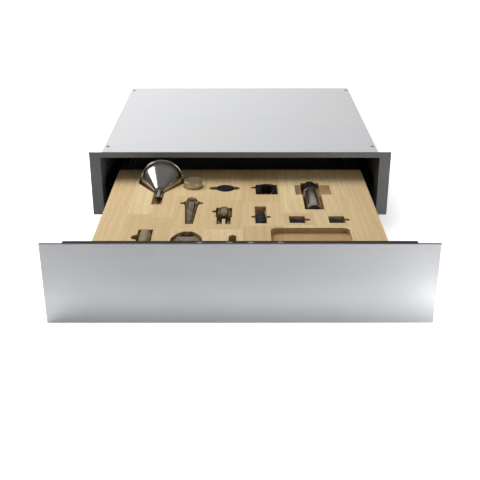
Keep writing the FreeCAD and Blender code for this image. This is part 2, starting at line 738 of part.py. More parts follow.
def ball(x, y, z, radius):
    """A ball with flat facets, inside its true size."""
    belt = radius * BALL_BELT_SHARE
    profile = [(0, -radius), (belt, -radius / 2), (belt, radius / 2), (0, radius)]
    return spun(profile, x, y, z, UP, BALL_SIDES)


def ball_cage(web, row, ball_line, radius, share, side):
    """A strip bent round the member inside it, with its balls in holes in the two arms."""
    start = CARCASS_FRONT + RUNNER_START + CAGE_START - share * OPEN_TRAVEL
    y_range = (start, start + CAGE_LENGTH)
    base = TRAY_HALF
    top, low = row + CAGE_ARM / 2, row - CAGE_ARM / 2
    arm_start = ball_line - CAGE_ARM_SHARE * radius
    points = [(web + CAGE_SHEET, top), (web + CAGE_SHEET, -top), (arm_start, -top), (arm_start, -low),
              (web, -low), (web, low), (arm_start, low), (arm_start, top)]
    cage = beam([(base + u, RUNNER_MIDDLE + z) for u, z in points], y_range, side)
    balls = []
    pitch = CAGE_LENGTH / BALL_COUNT
    length = 2 * RUNNER_HALF_HEIGHT
    for k in range(BALL_COUNT):
        y = start + pitch * (k + 0.5)
        x = side * (base + ball_line)
        hole = bar(x, y, RUNNER_MIDDLE - length / 2, radius + CAGE_HOLE_PLAY, length, UP, BALL_SIDES)
        cage = cage.cut(hole)
        balls += [ball(x, y, RUNNER_MIDDLE + sign * row, radius) for sign in (-1, 1)]
    return [cage] + balls


def runner_bracket(side):
    """A hat section that carries the outer member at the runner's distance from the wall."""
    y_range = (CARCASS_FRONT + FRAME_RETURN + BRACKET_PLAY, runner_y(0)[1])
    face, wall, sheet = BRACKET_FACE, WALL_INNER, BRACKET_SHEET
    top = RUNNER_MIDDLE + RUNNER_HALF_HEIGHT + BRACKET_SHEET
    points = [(face, SHEET), (wall, SHEET), (wall, SHEET + sheet), (face + sheet, SHEET + sheet),
              (face + sheet, top - sheet), (wall - sheet, top - sheet), (wall, top - sheet),
              (wall, top + BRACKET_FOOT), (wall - sheet, top + BRACKET_FOOT), (wall - sheet, top),
              (face, top)]
    bracket = beam(points, y_range, side)
    places = [place for place in outer_runner_screws() if place[0] * side > 0]
    return cut_all(bracket, [flush_screw(*place, play=SCREW_PLAY) for place in places])


# Push latch
LATCH_MIDDLE = TRAY_BASE + TRAY_HEIGHT / 2
STRIKER_BACK_CLOSED = CLOSED_FACE + TRAY_BACK + STRIKER_SHEET
PLUNGER_FRONT = STRIKER_BACK_CLOSED + PLUNGER_TIP
LATCH_FRONT = CARCASS_BACK - SHEET - LATCH_LENGTH
PLUNGER_BACK = PLUNGER_FRONT + PLUNGER_LENGTH


def latch_housing():
    """A moulded box on the floor, with two screw ears and the bore that guides the plunger."""
    y_range = (LATCH_FRONT, CARCASS_BACK - SHEET)
    half = LATCH_WIDTH / 2
    top = LATCH_MIDDLE + LATCH_HEIGHT / 2
    housing = rounded((-half, half), y_range, (SHEET, top), CORNER)
    ear_y = (latch_screws[0][1] - LATCH_EAR / 2, latch_screws[0][1] + LATCH_EAR / 2)
    reach = half + LATCH_EAR
    housing = housing.fuse(rounded((-reach, reach), ear_y, (SHEET, SHEET + LATCH_BASE_SHEET), CORNER))
    bore = bar(0, LATCH_FRONT - 1, LATCH_MIDDLE, PLUNGER_RADIUS + PLUNGER_PLAY,
               LATCH_LENGTH + 1 - LATCH_WALL, BACK, SMALL_SIDES)
    holes = [screw_hole(*place) for place in latch_screws]
    return cut_all(housing, [bore] + holes).removeSplitter()


def latch_plunger():
    profile = [(0, 0), (PLUNGER_RADIUS - EDGE, 0), (PLUNGER_RADIUS, EDGE), (PLUNGER_RADIUS, PLUNGER_LENGTH),
               (0, PLUNGER_LENGTH)]
    return spun(profile, 0, PLUNGER_FRONT, LATCH_MIDDLE, BACK, SMALL_SIDES)


def latch_spring():
    """The closed coil spring behind the plunger, kept as a sleeve inside its closed housing."""
    start = PLUNGER_BACK + SEAT
    length = CARCASS_BACK - SHEET - LATCH_WALL - SEAT - start
    profile = [(SPRING_BORE, 0), (SPRING_RADIUS, 0), (SPRING_RADIUS, length), (SPRING_BORE, length)]
    return spun(profile, 0, start, LATCH_MIDDLE, BACK, SMALL_SIDES)


# Tools. Each function gives its sub-parts and the pocket that the board has for it.

def beside(x, near, z, bottom_radius, room_radius, length, before=TOOL_ROOM, after=TOOL_ROOM):
    """The trough for a round tool that lies along Y, seated just under its own radius."""
    return trough(x, (near - before, near + length + after), z - bottom_radius - SEAT, room_radius)


def finger_slot(x_range, middle_y, width, depth):
    """A shallow slot across a pocket, for lifting its tool out."""
    return slot(x_range, (middle_y - width / 2, middle_y + width / 2), (BOARD_TOP - depth, BOARD_TOP + 1))


def funnel():
    """Spun steel funnel: a bowl of collar, beaded mouth and cone, and a tapered spout brazed to it."""
    wall, r, tip, spout = FUNNEL_WALL, FUNNEL_RADIUS, FUNNEL_TIP_RADIUS, FUNNEL_SPOUT_RADIUS
    shoulder_r = r - FUNNEL_SHOULDER
    shoulder = FUNNEL_SPOUT + (shoulder_r - spout) / FUNNEL_SLOPE
    collar = shoulder + 2 * FUNNEL_SHOULDER
    length = collar + FUNNEL_COLLAR
    bead = r + FUNNEL_BEAD
    half_bead = FUNNEL_BEAD / 2
    rim = [(r, length - 4 * half_bead), (bead, length - 3 * half_bead), (bead, length - half_bead),
           (r, length)]
    outer = [(spout, FUNNEL_SPOUT), (shoulder_r, shoulder), (r - FUNNEL_DRAFT, collar)] + rim
    inner = [(r - wall, length), (r - wall - FUNNEL_DRAFT, collar), (shoulder_r - wall, shoulder),
             (spout - wall, FUNNEL_SPOUT)]
    near = FUNNEL_MOUTH - length
    bowl = spun(outer + inner, FUNNEL_X, at(near), FUNNEL_AXIS, BACK, LARGE_SIDES)
    tube = spun([(tip - wall, 0), (tip, 0), (spout, FUNNEL_SPOUT), (spout - wall, FUNNEL_SPOUT)],
                FUNNEL_X, at(near), FUNNEL_AXIS, BACK)

    room = bead + FUNNEL_MOUTH_ROOM
    recess_axis = FUNNEL_AXIS + FUNNEL_MOUTH_ROOM - SEAT
    start = near + FUNNEL_SPOUT - FUNNEL_ROOM
    full = (room - SPOUT_POCKET_RADIUS) / RECESS_SLOPE
    end = FUNNEL_MOUTH + FUNNEL_MOUTH_ROOM - start
    recess = spun([(0, 0), (SPOUT_POCKET_RADIUS, 0), (room, full), (room, end), (0, end)],
                  FUNNEL_X, at(start), recess_axis, BACK, LARGE_SIDES)
    spout_pocket = trough(FUNNEL_X, (at(near - SPOUT_POCKET_RUN), at(start + FUNNEL_ROOM)),
                          FUNNEL_AXIS - spout - SEAT, SPOUT_POCKET_RADIUS)
    return {"funnel": bowl, "funnel_spout": tube}, [recess, spout_pocket]


def round_stopper():
    """Standing stopper: a turned steel cap on a rubber plug."""
    base = BOARD_TOP + ROUND_STOPPER_PROUD - ROUND_STOPPER_CAP
    r, p, y = ROUND_STOPPER_RADIUS, ROUND_STOPPER_PLUG_RADIUS, at(ROUND_STOPPER_PLACE)
    cap = spun([(0, 0), (r, 0), (r, ROUND_STOPPER_CAP - EDGE), (r - EDGE, ROUND_STOPPER_CAP),
                (0, ROUND_STOPPER_CAP)], ROUND_STOPPER_X, y, base)
    plug = spun([(0, 0), (p - 2 * EDGE, 0), (p, ROUND_STOPPER_PLUG / 2), (p, ROUND_STOPPER_PLUG),
                 (0, ROUND_STOPPER_PLUG)], ROUND_STOPPER_X, y, base - ROUND_STOPPER_PLUG)
    low = base - ROUND_STOPPER_PLUG - TOOL_ROOM
    pocket = [bar(ROUND_STOPPER_X, y, base - SEAT, r + NARROW_ROOM, ROUND_STOPPER_CAP),
              bar(ROUND_STOPPER_X, y, low, p + TOOL_ROOM, base - low)]
    return {"round_stopper_cap": cap, "round_stopper_plug": plug}, pocket


def ring_stopper():
    """Black domed stopper with a steel ring, and a finger slot across its pocket."""
    r, ring, stem = RING_STOPPER_RADIUS, RING_STOPPER_RING, RING_STOPPER_STEM_RADIUS
    y, base = at(RING_STOPPER_PLACE), BOARD_TOP - RING_STOPPER_RING - RING_STOPPER_SUNK
    inner = r - RING_STOPPER_BAND
    top = dome(inner, ring, RING_STOPPER_DOME)
    body = spun([(0, -RING_STOPPER_STEM), (stem - EDGE, -RING_STOPPER_STEM), (stem, 0), (inner, 0)] + top,
                RING_STOPPER_X, y, base)
    band = spun([(inner, 0), (r, 0), (r, ring - EDGE), (r - EDGE, ring), (inner, ring)],
                RING_STOPPER_X, y, base)
    low = base - RING_STOPPER_STEM - TOOL_ROOM
    x, half = RING_STOPPER_X - FINGER_SLOT_SHIFT, FINGER_SLOT_LENGTH / 2
    pocket = [bar(RING_STOPPER_X, y, base - SEAT, r + NARROW_ROOM, 2 * ring),
              bar(RING_STOPPER_X, y, low, stem + TOOL_ROOM, base - low),
              finger_slot((x - half, x + half), y, FINGER_SLOT_WIDTH, FINGER_SLOT_DEPTH)]
    return {"ring_stopper_body": body, "ring_stopper_band": band}, pocket


def foil_cutter():
    """Horseshoe body with four cutting wheels that reach into its gap."""
    x, half, gap = FOIL_CUTTER_X, FOIL_CUTTER_WIDTH / 2, FOIL_CUTTER_GAP / 2
    near, far = at(FOIL_CUTTER_NEAR), at(FOIL_CUTTER_NEAR + FOIL_CUTTER_LENGTH)
    top = BOARD_TOP + FOIL_CUTTER_PROUD
    low = top - FOIL_CUTTER_THICKNESS
    bow_y = far - half

    def horseshoe(inset, z_range):
        h, g, n = half - inset, gap + inset, near + inset
        inside = bow((x - g, bow_y), (x, bow_y + g), (x + g, bow_y), HORSESHOE_SIDES)
        outside = bow((x + h, bow_y), (x, bow_y + h), (x - h, bow_y), HORSESHOE_SIDES)
        return plate([(x - h, n), (x - g, n)] + inside + [(x + g, n), (x + h, n)] + outside, z_range)

    body = horseshoe(0, (low, top - FOIL_CUTTER_STEP)).fuse(horseshoe(EDGE, (top - FOIL_CUTTER_STEP, top)))
    middle = low + FOIL_CUTTER_THICKNESS / 2
    wheels = []
    for side in (-1, 1):
        for share in WHEEL_SHARES:
            place = (x + side * (gap + WHEEL_RADIUS - WHEEL_REACH), near + FOIL_CUTTER_LENGTH * share)
            wheels.append(bar(*place, middle - WHEEL_THICKNESS / 2, WHEEL_RADIUS, WHEEL_THICKNESS, UP,
                              SMALL_SIDES))
            body = body.cut(bar(*place, middle - WHEEL_THICKNESS / 2 - WHEEL_PLAY, WHEEL_RADIUS + SEAT,
                                WHEEL_THICKNESS + 2 * WHEEL_PLAY, UP, SMALL_SIDES))
            axle = bar(*place, low + EDGE, WHEEL_AXLE, FOIL_CUTTER_THICKNESS - 2 * EDGE, UP, SCREW_SIDES)
            hole = bar(*place, middle - WHEEL_THICKNESS, WHEEL_AXLE + WHEEL_PLAY / 2, 2 * WHEEL_THICKNESS, UP,
                       SCREW_SIDES)
            wheels[-1] = wheels[-1].cut(hole)
            body = body.fuse(axle)
    left, right = x - half - TOOL_ROOM, x + half + TOOL_ROOM
    grip_y = far - FOIL_CUTTER_GRIP
    pocket = [rounded((left, right), (near - 2 * TOOL_ROOM, far + TOOL_ROOM), (low - SEAT, BOARD_TOP + 1),
                      CORNER),
              finger_slot((left - FINGER_REACH, left + FINGER_REACH), grip_y, NOTCH_WIDTH, NOTCH_DEPTH)]
    return {"foil_cutter_body": body.removeSplitter(), "foil_cutter_wheels": wheels}, pocket


def wine_pump():
    """Pump on its side: rubber seal, metal barrel and black pull handle with a grip groove."""
    x, z, r = PUMP_X, PUMP_AXIS, PUMP_RADIUS
    near, grip, h = at(PUMP_NEAR), PUMP_RADIUS - PUMP_GRIP_STEP, PUMP_HANDLE
    seal = spun([(0, 0), (grip - PUMP_SEAL, 0), (grip, PUMP_SEAL), (0, PUMP_SEAL)], x, near, z, BACK)
    barrel = bar(x, near + PUMP_SEAL, z, r, PUMP_BARREL, BACK)
    groove_low, groove_high = h * PUMP_GROOVE_SHARES[0], h * PUMP_GROOVE_SHARES[1]
    handle = spun([(0, 0), (grip, 0), (grip, groove_low - PUMP_GROOVE), (grip - PUMP_GROOVE, groove_low),
                   (grip - PUMP_GROOVE, groove_high), (grip, groove_high + PUMP_GROOVE), (grip, h - 2 * EDGE),
                   (grip - 2 * EDGE, h), (0, h)], x, near + PUMP_SEAL + PUMP_BARREL, z, BACK)
    length = PUMP_SEAL + PUMP_BARREL + PUMP_HANDLE
    pocket = beside(x, near, z, r, r + PUMP_ROOM, length, after=PUMP_ROOM)
    scoop_x = x + SCOOP_SHIFT - SCOOP_WIDTH / 2
    scoop = bar(scoop_x, near + PUMP_SEAL + PUMP_BARREL, BOARD_TOP + SCOOP_RADIUS - SCOOP_DEPTH, SCOOP_RADIUS,
                SCOOP_WIDTH, RIGHT, LARGE_SIDES)
    return {"pump_seal": seal, "pump_barrel": barrel, "pump_handle": handle}, [pocket, scoop]


def cone_stopper():
    """Long conical stopper in steel, with a wider head at the far end."""
    tip, neck, head, near = CONE_TIP_RADIUS, CONE_BODY_RADIUS, CONE_HEAD_RADIUS, at(CONE_NEAR)
    length = CONE_BODY + CONE_HEAD
    body = spun([(0, 0), (tip - EDGE, 0), (tip, EDGE), (neck, CONE_BODY), (head, CONE_BODY),
                 (head, length - 2 * EDGE), (head - 2 * EDGE, length), (0, length)],
                CONE_X, near, CONE_AXIS, BACK)
    room = TOOL_ROOM
    pocket = spun([(0, -room), (tip + room, -room), (neck + room, CONE_BODY - room),
                   (head + room, CONE_BODY - room), (head + room, length + room), (0, length + room)],
                  CONE_X, near, CONE_AXIS + room - SEAT, BACK)
    reach, grip_y = head + FINGER_REACH, near + CONE_BODY + CONE_HEAD / 2
    notch = finger_slot((CONE_X - reach, CONE_X + reach), grip_y, NOTCH_WIDTH, NOTCH_DEPTH)
    return {"cone_stopper": body}, [pocket, notch]


def arm_stopper():
    """Sparkling-wine stopper on its side: domed cap, rubber seal and two clamp arms with hooked ends."""
    x, z, r = ARM_STOPPER_X, ARM_STOPPER_AXIS, ARM_STOPPER_RADIUS
    near, length = at(ARM_STOPPER_NEAR), ARM_STOPPER_LENGTH
    skirt, neck = ARM_STOPPER_SKIRT, r - EDGE
    top = dome(neck, length - ARM_STOPPER_DOME, ARM_STOPPER_DOME)
    cap = spun([(0, 0), (r, 0), (r, skirt), (neck, skirt + EDGE)] + top, x, near, z, BACK)
    half_w, half_t = ARM_WIDTH / 2, ARM_THICKNESS / 2
    arms, room = [], TOOL_ROOM
    pocket = [beside(x, near, z, r, r + room, length),
              beside(x, near - ARM_SEAL, z, ARM_SEAL_RADIUS, ARM_SEAL_RADIUS + NARROW_ROOM, ARM_SEAL)]
    for side in (-1, 1):
        middle = x + side * ARM_SPREAD
        arm = block((middle - half_w, middle + half_w), (near - ARM_LENGTH, near), (z - half_t, z + half_t))
        tip = near - ARM_LENGTH
        hook = block(sorted((middle, middle - side * (half_w + ARM_HOOK))), (tip, tip + ARM_THICKNESS),
                     (z - half_t, z + half_t))
        arms.append(arm.fuse(hook).removeSplitter())
        reach = half_w + NARROW_ROOM + ARM_HOOK
        pocket.append(rounded((middle - reach, middle + reach), (tip - room, near + room),
                              (z - half_t - SEAT, BOARD_TOP + 1), NARROW_ROOM))
    seal = bar(x, near - ARM_SEAL, z, ARM_SEAL_RADIUS, ARM_SEAL, BACK, SMALL_SIDES)
    pocket.append(finger_slot((x - r - FINGER_REACH, x), near + skirt, NOTCH_WIDTH, NOTCH_DEPTH))
    return {"arm_stopper_cap": cap, "arm_stopper_arms": arms, "arm_stopper_seal": seal}, pocket


def pourer():
    """Small rubber plug with two sealing ribs, in a longer pocket with finger notches."""
    x, z, r, near, length = POURER_X, POURER_AXIS, POURER_RADIUS, at(POURER_NEAR), POURER_LENGTH
    rib = r - EDGE
    ribs = [(r - 2 * EDGE, EDGE)]
    for k in (1, 2):
        ribs += [(rib, length * k / 3), (r, length * k / 3)]
    plug = spun([(0, 0), (r - 3 * EDGE, 0)] + ribs + [(r, length - EDGE), (r - EDGE, length), (0, length)],
                x, near, z, BACK, SMALL_SIDES)
    pocket = trough(x, (near - TOOL_ROOM, near + POURER_POCKET_LENGTH), z - r - SEAT, r + TOOL_ROOM)
    reach = r + FINGER_REACH
    notch = finger_slot((x - reach, x + reach), near + POURER_NOTCH, NOTCH_WIDTH, NOTCH_DEPTH)
    return {"pourer_plug": plug}, [pocket, notch]


def short_stopper(x, name):
    """Short rubber stopper that lies across the board: a head and a tapered neck."""
    r, neck, length, head = SHORT_STOPPER_RADIUS, SHORT_STOPPER_NECK, SHORT_STOPPER_LENGTH, SHORT_STOPPER_HEAD
    y, z, left = at(SHORT_STOPPER_PLACE), SHORT_STOPPER_AXIS, x - SHORT_STOPPER_LENGTH / 2
    profile = [(0, 0), (r - EDGE, 0), (r, EDGE), (r, head), (neck + EDGE, head), (neck, length), (0, length)]
    body = spun(profile, left, y, z, RIGHT)
    room, bottom = TOOL_ROOM, z - r - SEAT
    middle = bottom + r + room
    pocket = bar(left - room, y, middle, r + room, length + 2 * room, RIGHT)
    top = block((left - room, left + length + room), (y - r - room, y + r + room), (middle, BOARD_TOP + 1))
    notch = finger_slot((x, x + length / 2 + FINGER_REACH + room), y, NOTCH_WIDTH, NOTCH_DEPTH)
    return {name: body}, [pocket, top, notch]


def thermometer():
    """Long round case with a domed far end and a steel collar at the near end."""
    x, z, r, near = THERMOMETER_X, THERMOMETER_AXIS, THERMOMETER_RADIUS, at(THERMOMETER_NEAR)
    length, collar = THERMOMETER_LENGTH, THERMOMETER_COLLAR
    case = spun([(0, 0), (r, 0)] + dome(r, length - collar - r, r), x, near + collar, z, BACK)
    end = spun([(0, 0), (r - EDGE, 0), (r, EDGE), (r, collar), (0, collar)], x, near, z, BACK)
    pocket = beside(x, near, z, r, r + THERMOMETER_ROOM, length, after=THERMOMETER_ROOM)
    edge_x = x - r - THERMOMETER_ROOM
    scoop = bar(edge_x, at(SIDE_SCOOP_PLACE), BOARD_TOP - SIDE_SCOOP_DEPTH, SIDE_SCOOP_RADIUS,
                SIDE_SCOOP_DEPTH + 1)
    return {"thermometer_case": case, "thermometer_collar": end}, [pocket, scoop]


def worm(x, y, z):
    """The wound wire of the corkscrew, with a point, along Y from y."""
    steps = TURN_COUNT * STEP_COUNT
    rings = []
    for k in range(steps + 1):
        angle = 2 * math.pi * k / STEP_COUNT
        thin = min(1.0, WORM_POINT_SHARE + (1 - WORM_POINT_SHARE) * k / STEP_COUNT)
        centre = FreeCAD.Vector(WORM_RADIUS * math.cos(angle), WORM_PITCH * k / STEP_COUNT,
                                WORM_RADIUS * math.sin(angle))
        out = FreeCAD.Vector(math.cos(angle), 0, math.sin(angle))
        along = FreeCAD.Vector(-WORM_RADIUS * math.sin(angle), WORM_PITCH / (2 * math.pi),
                               WORM_RADIUS * math.cos(angle)).normalize()
        across = along.cross(out)
        ring = []
        for j in range(WORM_SIDES):
            turn = 2 * math.pi * j / WORM_SIDES
            ring.append(FreeCAD.Vector(x, y, z) + centre
                        + (out * math.cos(turn) + across * math.sin(turn)) * WORM_WIRE * thin)
        rings.append(ring)
    faces = [Part.Face(Part.makePolygon(ring + ring[:1])) for ring in (rings[0], rings[-1])]
    for low, high in zip(rings, rings[1:]):
        for j in range(WORM_SIDES):
            a, b, c, d = low[j], low[(j + 1) % WORM_SIDES], high[(j + 1) % WORM_SIDES], high[j]
            faces.append(Part.Face(Part.makePolygon([a, b, c, a])))
            faces.append(Part.Face(Part.makePolygon([a, c, d, a])))
    solid = Part.makeSolid(Part.makeShell(faces))
    if solid.Volume < 0:
        solid.reverse()
    return solid


def lever_gear(x, y, toward, z_range):
    """A lever's round end, with teeth on the half that faces the spindle (toward is 1 or -1 in X)."""
    step = 2 * math.pi / TOOTH_COUNT
    root, tip = (TOOTH_ROOT_SHARE, GEAR_RADIUS - TOOTH_DEPTH), (TOOTH_TIP_SHARE, GEAR_RADIUS)
    tooth = ((-root[0], root[1]), (-tip[0], tip[1]), tip, root)
    points = []
    for k in range(TOOTH_COUNT):
        faces_spindle = min(k, TOOTH_COUNT - k) < TOOTH_COUNT / 4
        for share, radius in tooth if faces_spindle else ((0, GEAR_RADIUS),):
            angle = step * (k + share)
            points.append((x + toward * radius * math.cos(angle), y + radius * math.sin(angle)))
    return plate(points, z_range)


def rack(middle):
    """Near part of the spindle's profile: rings that mesh with the levers' teeth about the middle."""
    pitch = 2 * math.pi * (GEAR_RADIUS - TOOTH_DEPTH / 2) / TOOTH_COUNT
    half = pitch * (1 - RACK_RING_SHARE) / 2
    low = SPINDLE_RADIUS - RACK_DEPTH
    points = [(0, 0), (SPINDLE_RADIUS, 0)]
    for k in range(-RING_COUNT_NEAR, RING_COUNT_FAR + 1):
        place = middle + pitch * k
        points += [(SPINDLE_RADIUS, place - half), (low, place - half), (low, place + half),
                   (SPINDLE_RADIUS, place + half)]
    return points


def corkscrew():
    """Two-lever corkscrew on its back: bell and frame, geared levers, spindle with knob, and worm."""
    x, z, near, r = CORKSCREW_X, CORKSCREW_AXIS, at(CORKSCREW_NEAR), BELL_RADIUS
    head_y = near + HEAD_PLACE
    half_t = FRAME_ARM_THICKNESS / 2
    reach = FRAME_ARM_SPREAD + FRAME_ARM_WIDTH
    frame = bar(x, near, z, r, BELL_LENGTH, BACK)
    outside = block((x - reach, x + reach), (near + BELL_LENGTH / 2, head_y), (z - half_t, z + half_t))
    outside = outside.cut(block((x - FRAME_ARM_SPREAD, x + FRAME_ARM_SPREAD),
                                (near, head_y - HEAD_LENGTH / 2), (z - r, z + r)))
    head = block((x - GEAR_SPREAD - FRAME_ARM_WIDTH, x + GEAR_SPREAD + FRAME_ARM_WIDTH),
                 (head_y - HEAD_LENGTH / 2, head_y + HEAD_LENGTH / 2), (z - half_t, z + half_t))
    frame = frame.fuse(outside).fuse(head)
    bore = spun([(0, -EDGE), (r - BELL_WALL / 2, -EDGE), (r - BELL_WALL, EDGE),
                 (r - BELL_WALL, BELL_LENGTH - BELL_WALL), (0, BELL_LENGTH - BELL_WALL)],
                x, near, z, BACK)
    worm_room = WORM_RADIUS + WORM_WIRE + NARROW_ROOM
    frame = frame.cut(bore).cut(bar(x, near, z, worm_room, BELL_LENGTH + EDGE, BACK, SMALL_SIDES))
    frame = frame.cut(bar(x, near + BELL_LENGTH, z, SPINDLE_RADIUS + SEAT, HEAD_PLACE + HEAD_LENGTH, BACK,
                          SMALL_SIDES))
    half_l, play = LEVER_THICKNESS / 2, LEVER_PLAY
    wide = GEAR_SPREAD + 2 * GEAR_RADIUS
    frame = frame.cut(block((x - wide, x + wide), (head_y - GEAR_RADIUS - play, head_y + GEAR_RADIUS + play),
                            (z - half_l - play, z + half_l + play)))
    levers = []
    for side in (-1, 1):
        gear_x = x + side * GEAR_SPREAD
        lever_x = x + side * (GEAR_SPREAD + GEAR_RADIUS - LEVER_WIDTH / 2)
        gear = lever_gear(gear_x, head_y, -side, (z - half_l, z + half_l))
        arm = block((lever_x - LEVER_WIDTH / 2, lever_x + LEVER_WIDTH / 2), (head_y - LEVER_REACH, head_y),
                    (z - half_l, z + half_l))
        end_y = head_y - LEVER_REACH
        end = bar(lever_x, end_y, z - half_l, LEVER_WIDTH / 2, LEVER_THICKNESS, UP, SMALL_SIDES)
        lever = gear.fuse(arm).fuse(end)
        pin = bar(gear_x, head_y, z - half_t, PIVOT_RADIUS, FRAME_ARM_THICKNESS, UP, SCREW_SIDES)
        levers.append(lever.fuse(pin).removeSplitter())
        frame = frame.cut(bar(gear_x, head_y, z - r, PIVOT_RADIUS + PIVOT_PLAY, 2 * r, UP, SCREW_SIDES))
    top = head_y + HEAD_LENGTH / 2 + SPINDLE_PROUD
    start = near + WORM_START + WORM_PITCH * TURN_COUNT + WORM_WIRE
    profile = rack(head_y - start) + [(SPINDLE_RADIUS, top - start), (0, top - start)]
    spindle = spun(profile, x, start, z, BACK, SMALL_SIDES)
    knob = spun([(0, 0), (KNOB_RADIUS, 0), (KNOB_RADIUS, KNOB_LENGTH - 2 * EDGE),
                 (KNOB_RADIUS - 2 * EDGE, KNOB_LENGTH), (0, KNOB_LENGTH)], x, top, z, BACK)
    shapes = {"corkscrew_frame": frame.removeSplitter(), "corkscrew_levers": levers,
              "corkscrew_spindle": spindle, "corkscrew_knob": knob,
              "corkscrew_worm": worm(x, near + WORM_START, z)}

    room = TOOL_ROOM
    floor = z - max(half_t, KNOB_RADIUS) - SEAT
    half, side_x = GEAR_SPREAD + GEAR_RADIUS + room, KNOB_RADIUS + room
    end_y = head_y - LEVER_REACH - LEVER_WIDTH / 2 - room
    far_y = top + KNOB_LENGTH + room
    bulge = (side_x + (half - side_x) * SHOULDER_SHARE, head_y + (far_y - head_y) * SHOULDER_SHARE)
    edge = [(half, end_y)] + bow((half, head_y), bulge, (side_x, far_y))
    fan = [(x + u, y) for u, y in edge] + [(x - u, y) for u, y in reversed(edge)]
    return shapes, [plate(fan, (floor, BOARD_TOP + 1)), beside(x, near, z, r, r + room, BELL_LENGTH)]


def pocket_tools():
    """Every tool's sub-parts by name, and all the pockets."""
    made = [funnel(), round_stopper(), ring_stopper(), foil_cutter(), wine_pump(), cone_stopper(),
            arm_stopper(), pourer(), thermometer(), corkscrew()]
    made += [short_stopper(x, name) for x, name in zip(SHORT_STOPPER_XS, SHORT_STOPPER_NAMES)]
    shapes, pockets = {}, []
    for solids, cutters in made:
        shapes.update(solids)
        pockets += cutters
    return shapes, pockets


def empty_recesses():
    """The wide shallow recess and the narrow slot, which hold nothing."""
    floor = BOARD_TOP - RECESS_DEPTH
    wide = rounded((RECESS_LEFT, RECESS_RIGHT), (at(RECESS_NEAR), at(RECESS_FAR)), (floor, BOARD_TOP + 1),
                   RECESS_CORNER)
    half = NARROW_SLOT_WIDTH / 2
    narrow = slot((NARROW_SLOT_X - half, NARROW_SLOT_X + half), (at(NARROW_SLOT_NEAR), at(NARROW_SLOT_FAR)),
                  (BOARD_TOP - NARROW_SLOT_DEPTH, BOARD_TOP + 1))
    return [wide, narrow]


def oak_board(pockets):
    """Thick board, a list of glued staves in one or more lengths. Its top overhangs the tray's rims."""
    lower = TRAY_INNER_HALF - RIM_PLAY
    y_range = (at(BOARD_FRONT), at(BOARD_BACK))
    shoulder = TRAY_TOP + RIM_PLAY
    board = block((-BOARD_HALF, BOARD_HALF), y_range, (shoulder, BOARD_TOP))
    rim = [e for e in board.Edges if all(abs(v.Z - BOARD_TOP) < 1e-6 for v in e.Vertexes)]
    board = board.makeChamfer(BOARD_BEVEL, rim)
    board = board.fuse(block((-lower, lower), y_range, (BOARD_BASE, shoulder)))
    board = cut_all(board, pockets).removeSplitter()
    edges = [-BOARD_HALF, *STAVE_EDGES, BOARD_HALF]
    staves = []
    for k, x_range in enumerate(zip(edges, edges[1:])):
        ends = [at(place) for place in (BOARD_FRONT, *END_JOINTS.get(k, ()), BOARD_BACK)]
        staves.append([board.common(block(x_range, part, (BOARD_BASE, BOARD_TOP)))
                       for part in zip(ends, ends[1:])])
    return staves


tool_shapes, tool_pockets = pocket_tools()

sub_parts["carcass_shell"] = carcass_shell()
sub_parts["front_frame"] = front_frame()
sub_parts["top_cover"] = top_cover()
sub_parts["rear_panel"] = rear_panel()
sub_parts["carcass_screws"] = [screw(*place) for place in top_cover_screws + rear_screws]
sub_parts["latch_housing"] = latch_housing()
sub_parts["latch_screws"] = [screw(*place) for place in latch_screws]
sub_parts["latch_spring"] = latch_spring()
sub_parts["latch_plunger"] = latch_plunger()
sub_parts["striker_plate"] = striker_plate()
sub_parts["front_panel"] = front_panel()
sub_parts["inner_front"] = inner_front()
sub_parts["panel_screws"] = panel_screw_heads()
sub_parts["drawer_tray"] = drawer_tray()
sub_parts["tray_screws"] = [screw(*place) for place in tray_screws]
sub_parts["board_bearers"] = board_bearers()
staves = oak_board(tool_pockets + empty_recesses())
sub_parts["oak_board"] = [part for k, stave in enumerate(staves) if k not in STAVES_APART for part in stave]
for k, name in STAVES_APART.items():
    sub_parts[name] = staves[k]
sub_parts["runner_screws_inner"] = [screw(*place) for place in inner_runner_screws()]
sub_parts["runner_screws_outer"] = [flush_screw(*place) for place in outer_runner_screws()]

for side, name in ((-1, "left"), (1, "right")):
    sub_parts["runner_bracket_" + name] = runner_bracket(side)
    sub_parts["outer_runner_" + name] = outer_runner(side)
    sub_parts["middle_runner_" + name] = middle_runner(side)
    sub_parts["inner_runner_" + name] = inner_runner(side)
    sub_parts["outer_cage_" + name] = ball_cage(OUTER_CAGE_WEB, OUTER_ROW, OUTER_BALL_LINE, OUTER_BALL,
                                                OUTER_CAGE_SHARE, side)
    sub_parts["inner_cage_" + name] = ball_cage(INNER_CAGE_WEB, INNER_ROW, INNER_BALL_LINE, INNER_BALL,
                                                INNER_CAGE_SHARE, side)

sub_parts.update(tool_shapes)

os.makedirs("parts", exist_ok=True)
for name, shape in sub_parts.items():
    solids = shape if isinstance(shape, list) else [shape]
    if len(solids) == 1:
        whole = solids[0]
    else:
        whole = Part.makeCompound(solids)
    whole.exportStep("parts/" + name + ".step")
    print(name, "solids", len(whole.Solids), "valid", whole.isValid(), "volume", round(whole.Volume, 1))
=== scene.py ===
# %% [markdown]
# A built-in sommelier drawer, open. A painted steel carcass carries it, a brushed steel front closes it, and an
# oak board with milled pockets holds the wine tools. The sheet-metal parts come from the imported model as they
# are, and this lesson gives them their finishes. Turned and moulded tools, the screws, the ball cages and the
# board are made again here with smooth curves, because flat sides would catch the light.

import json
import math

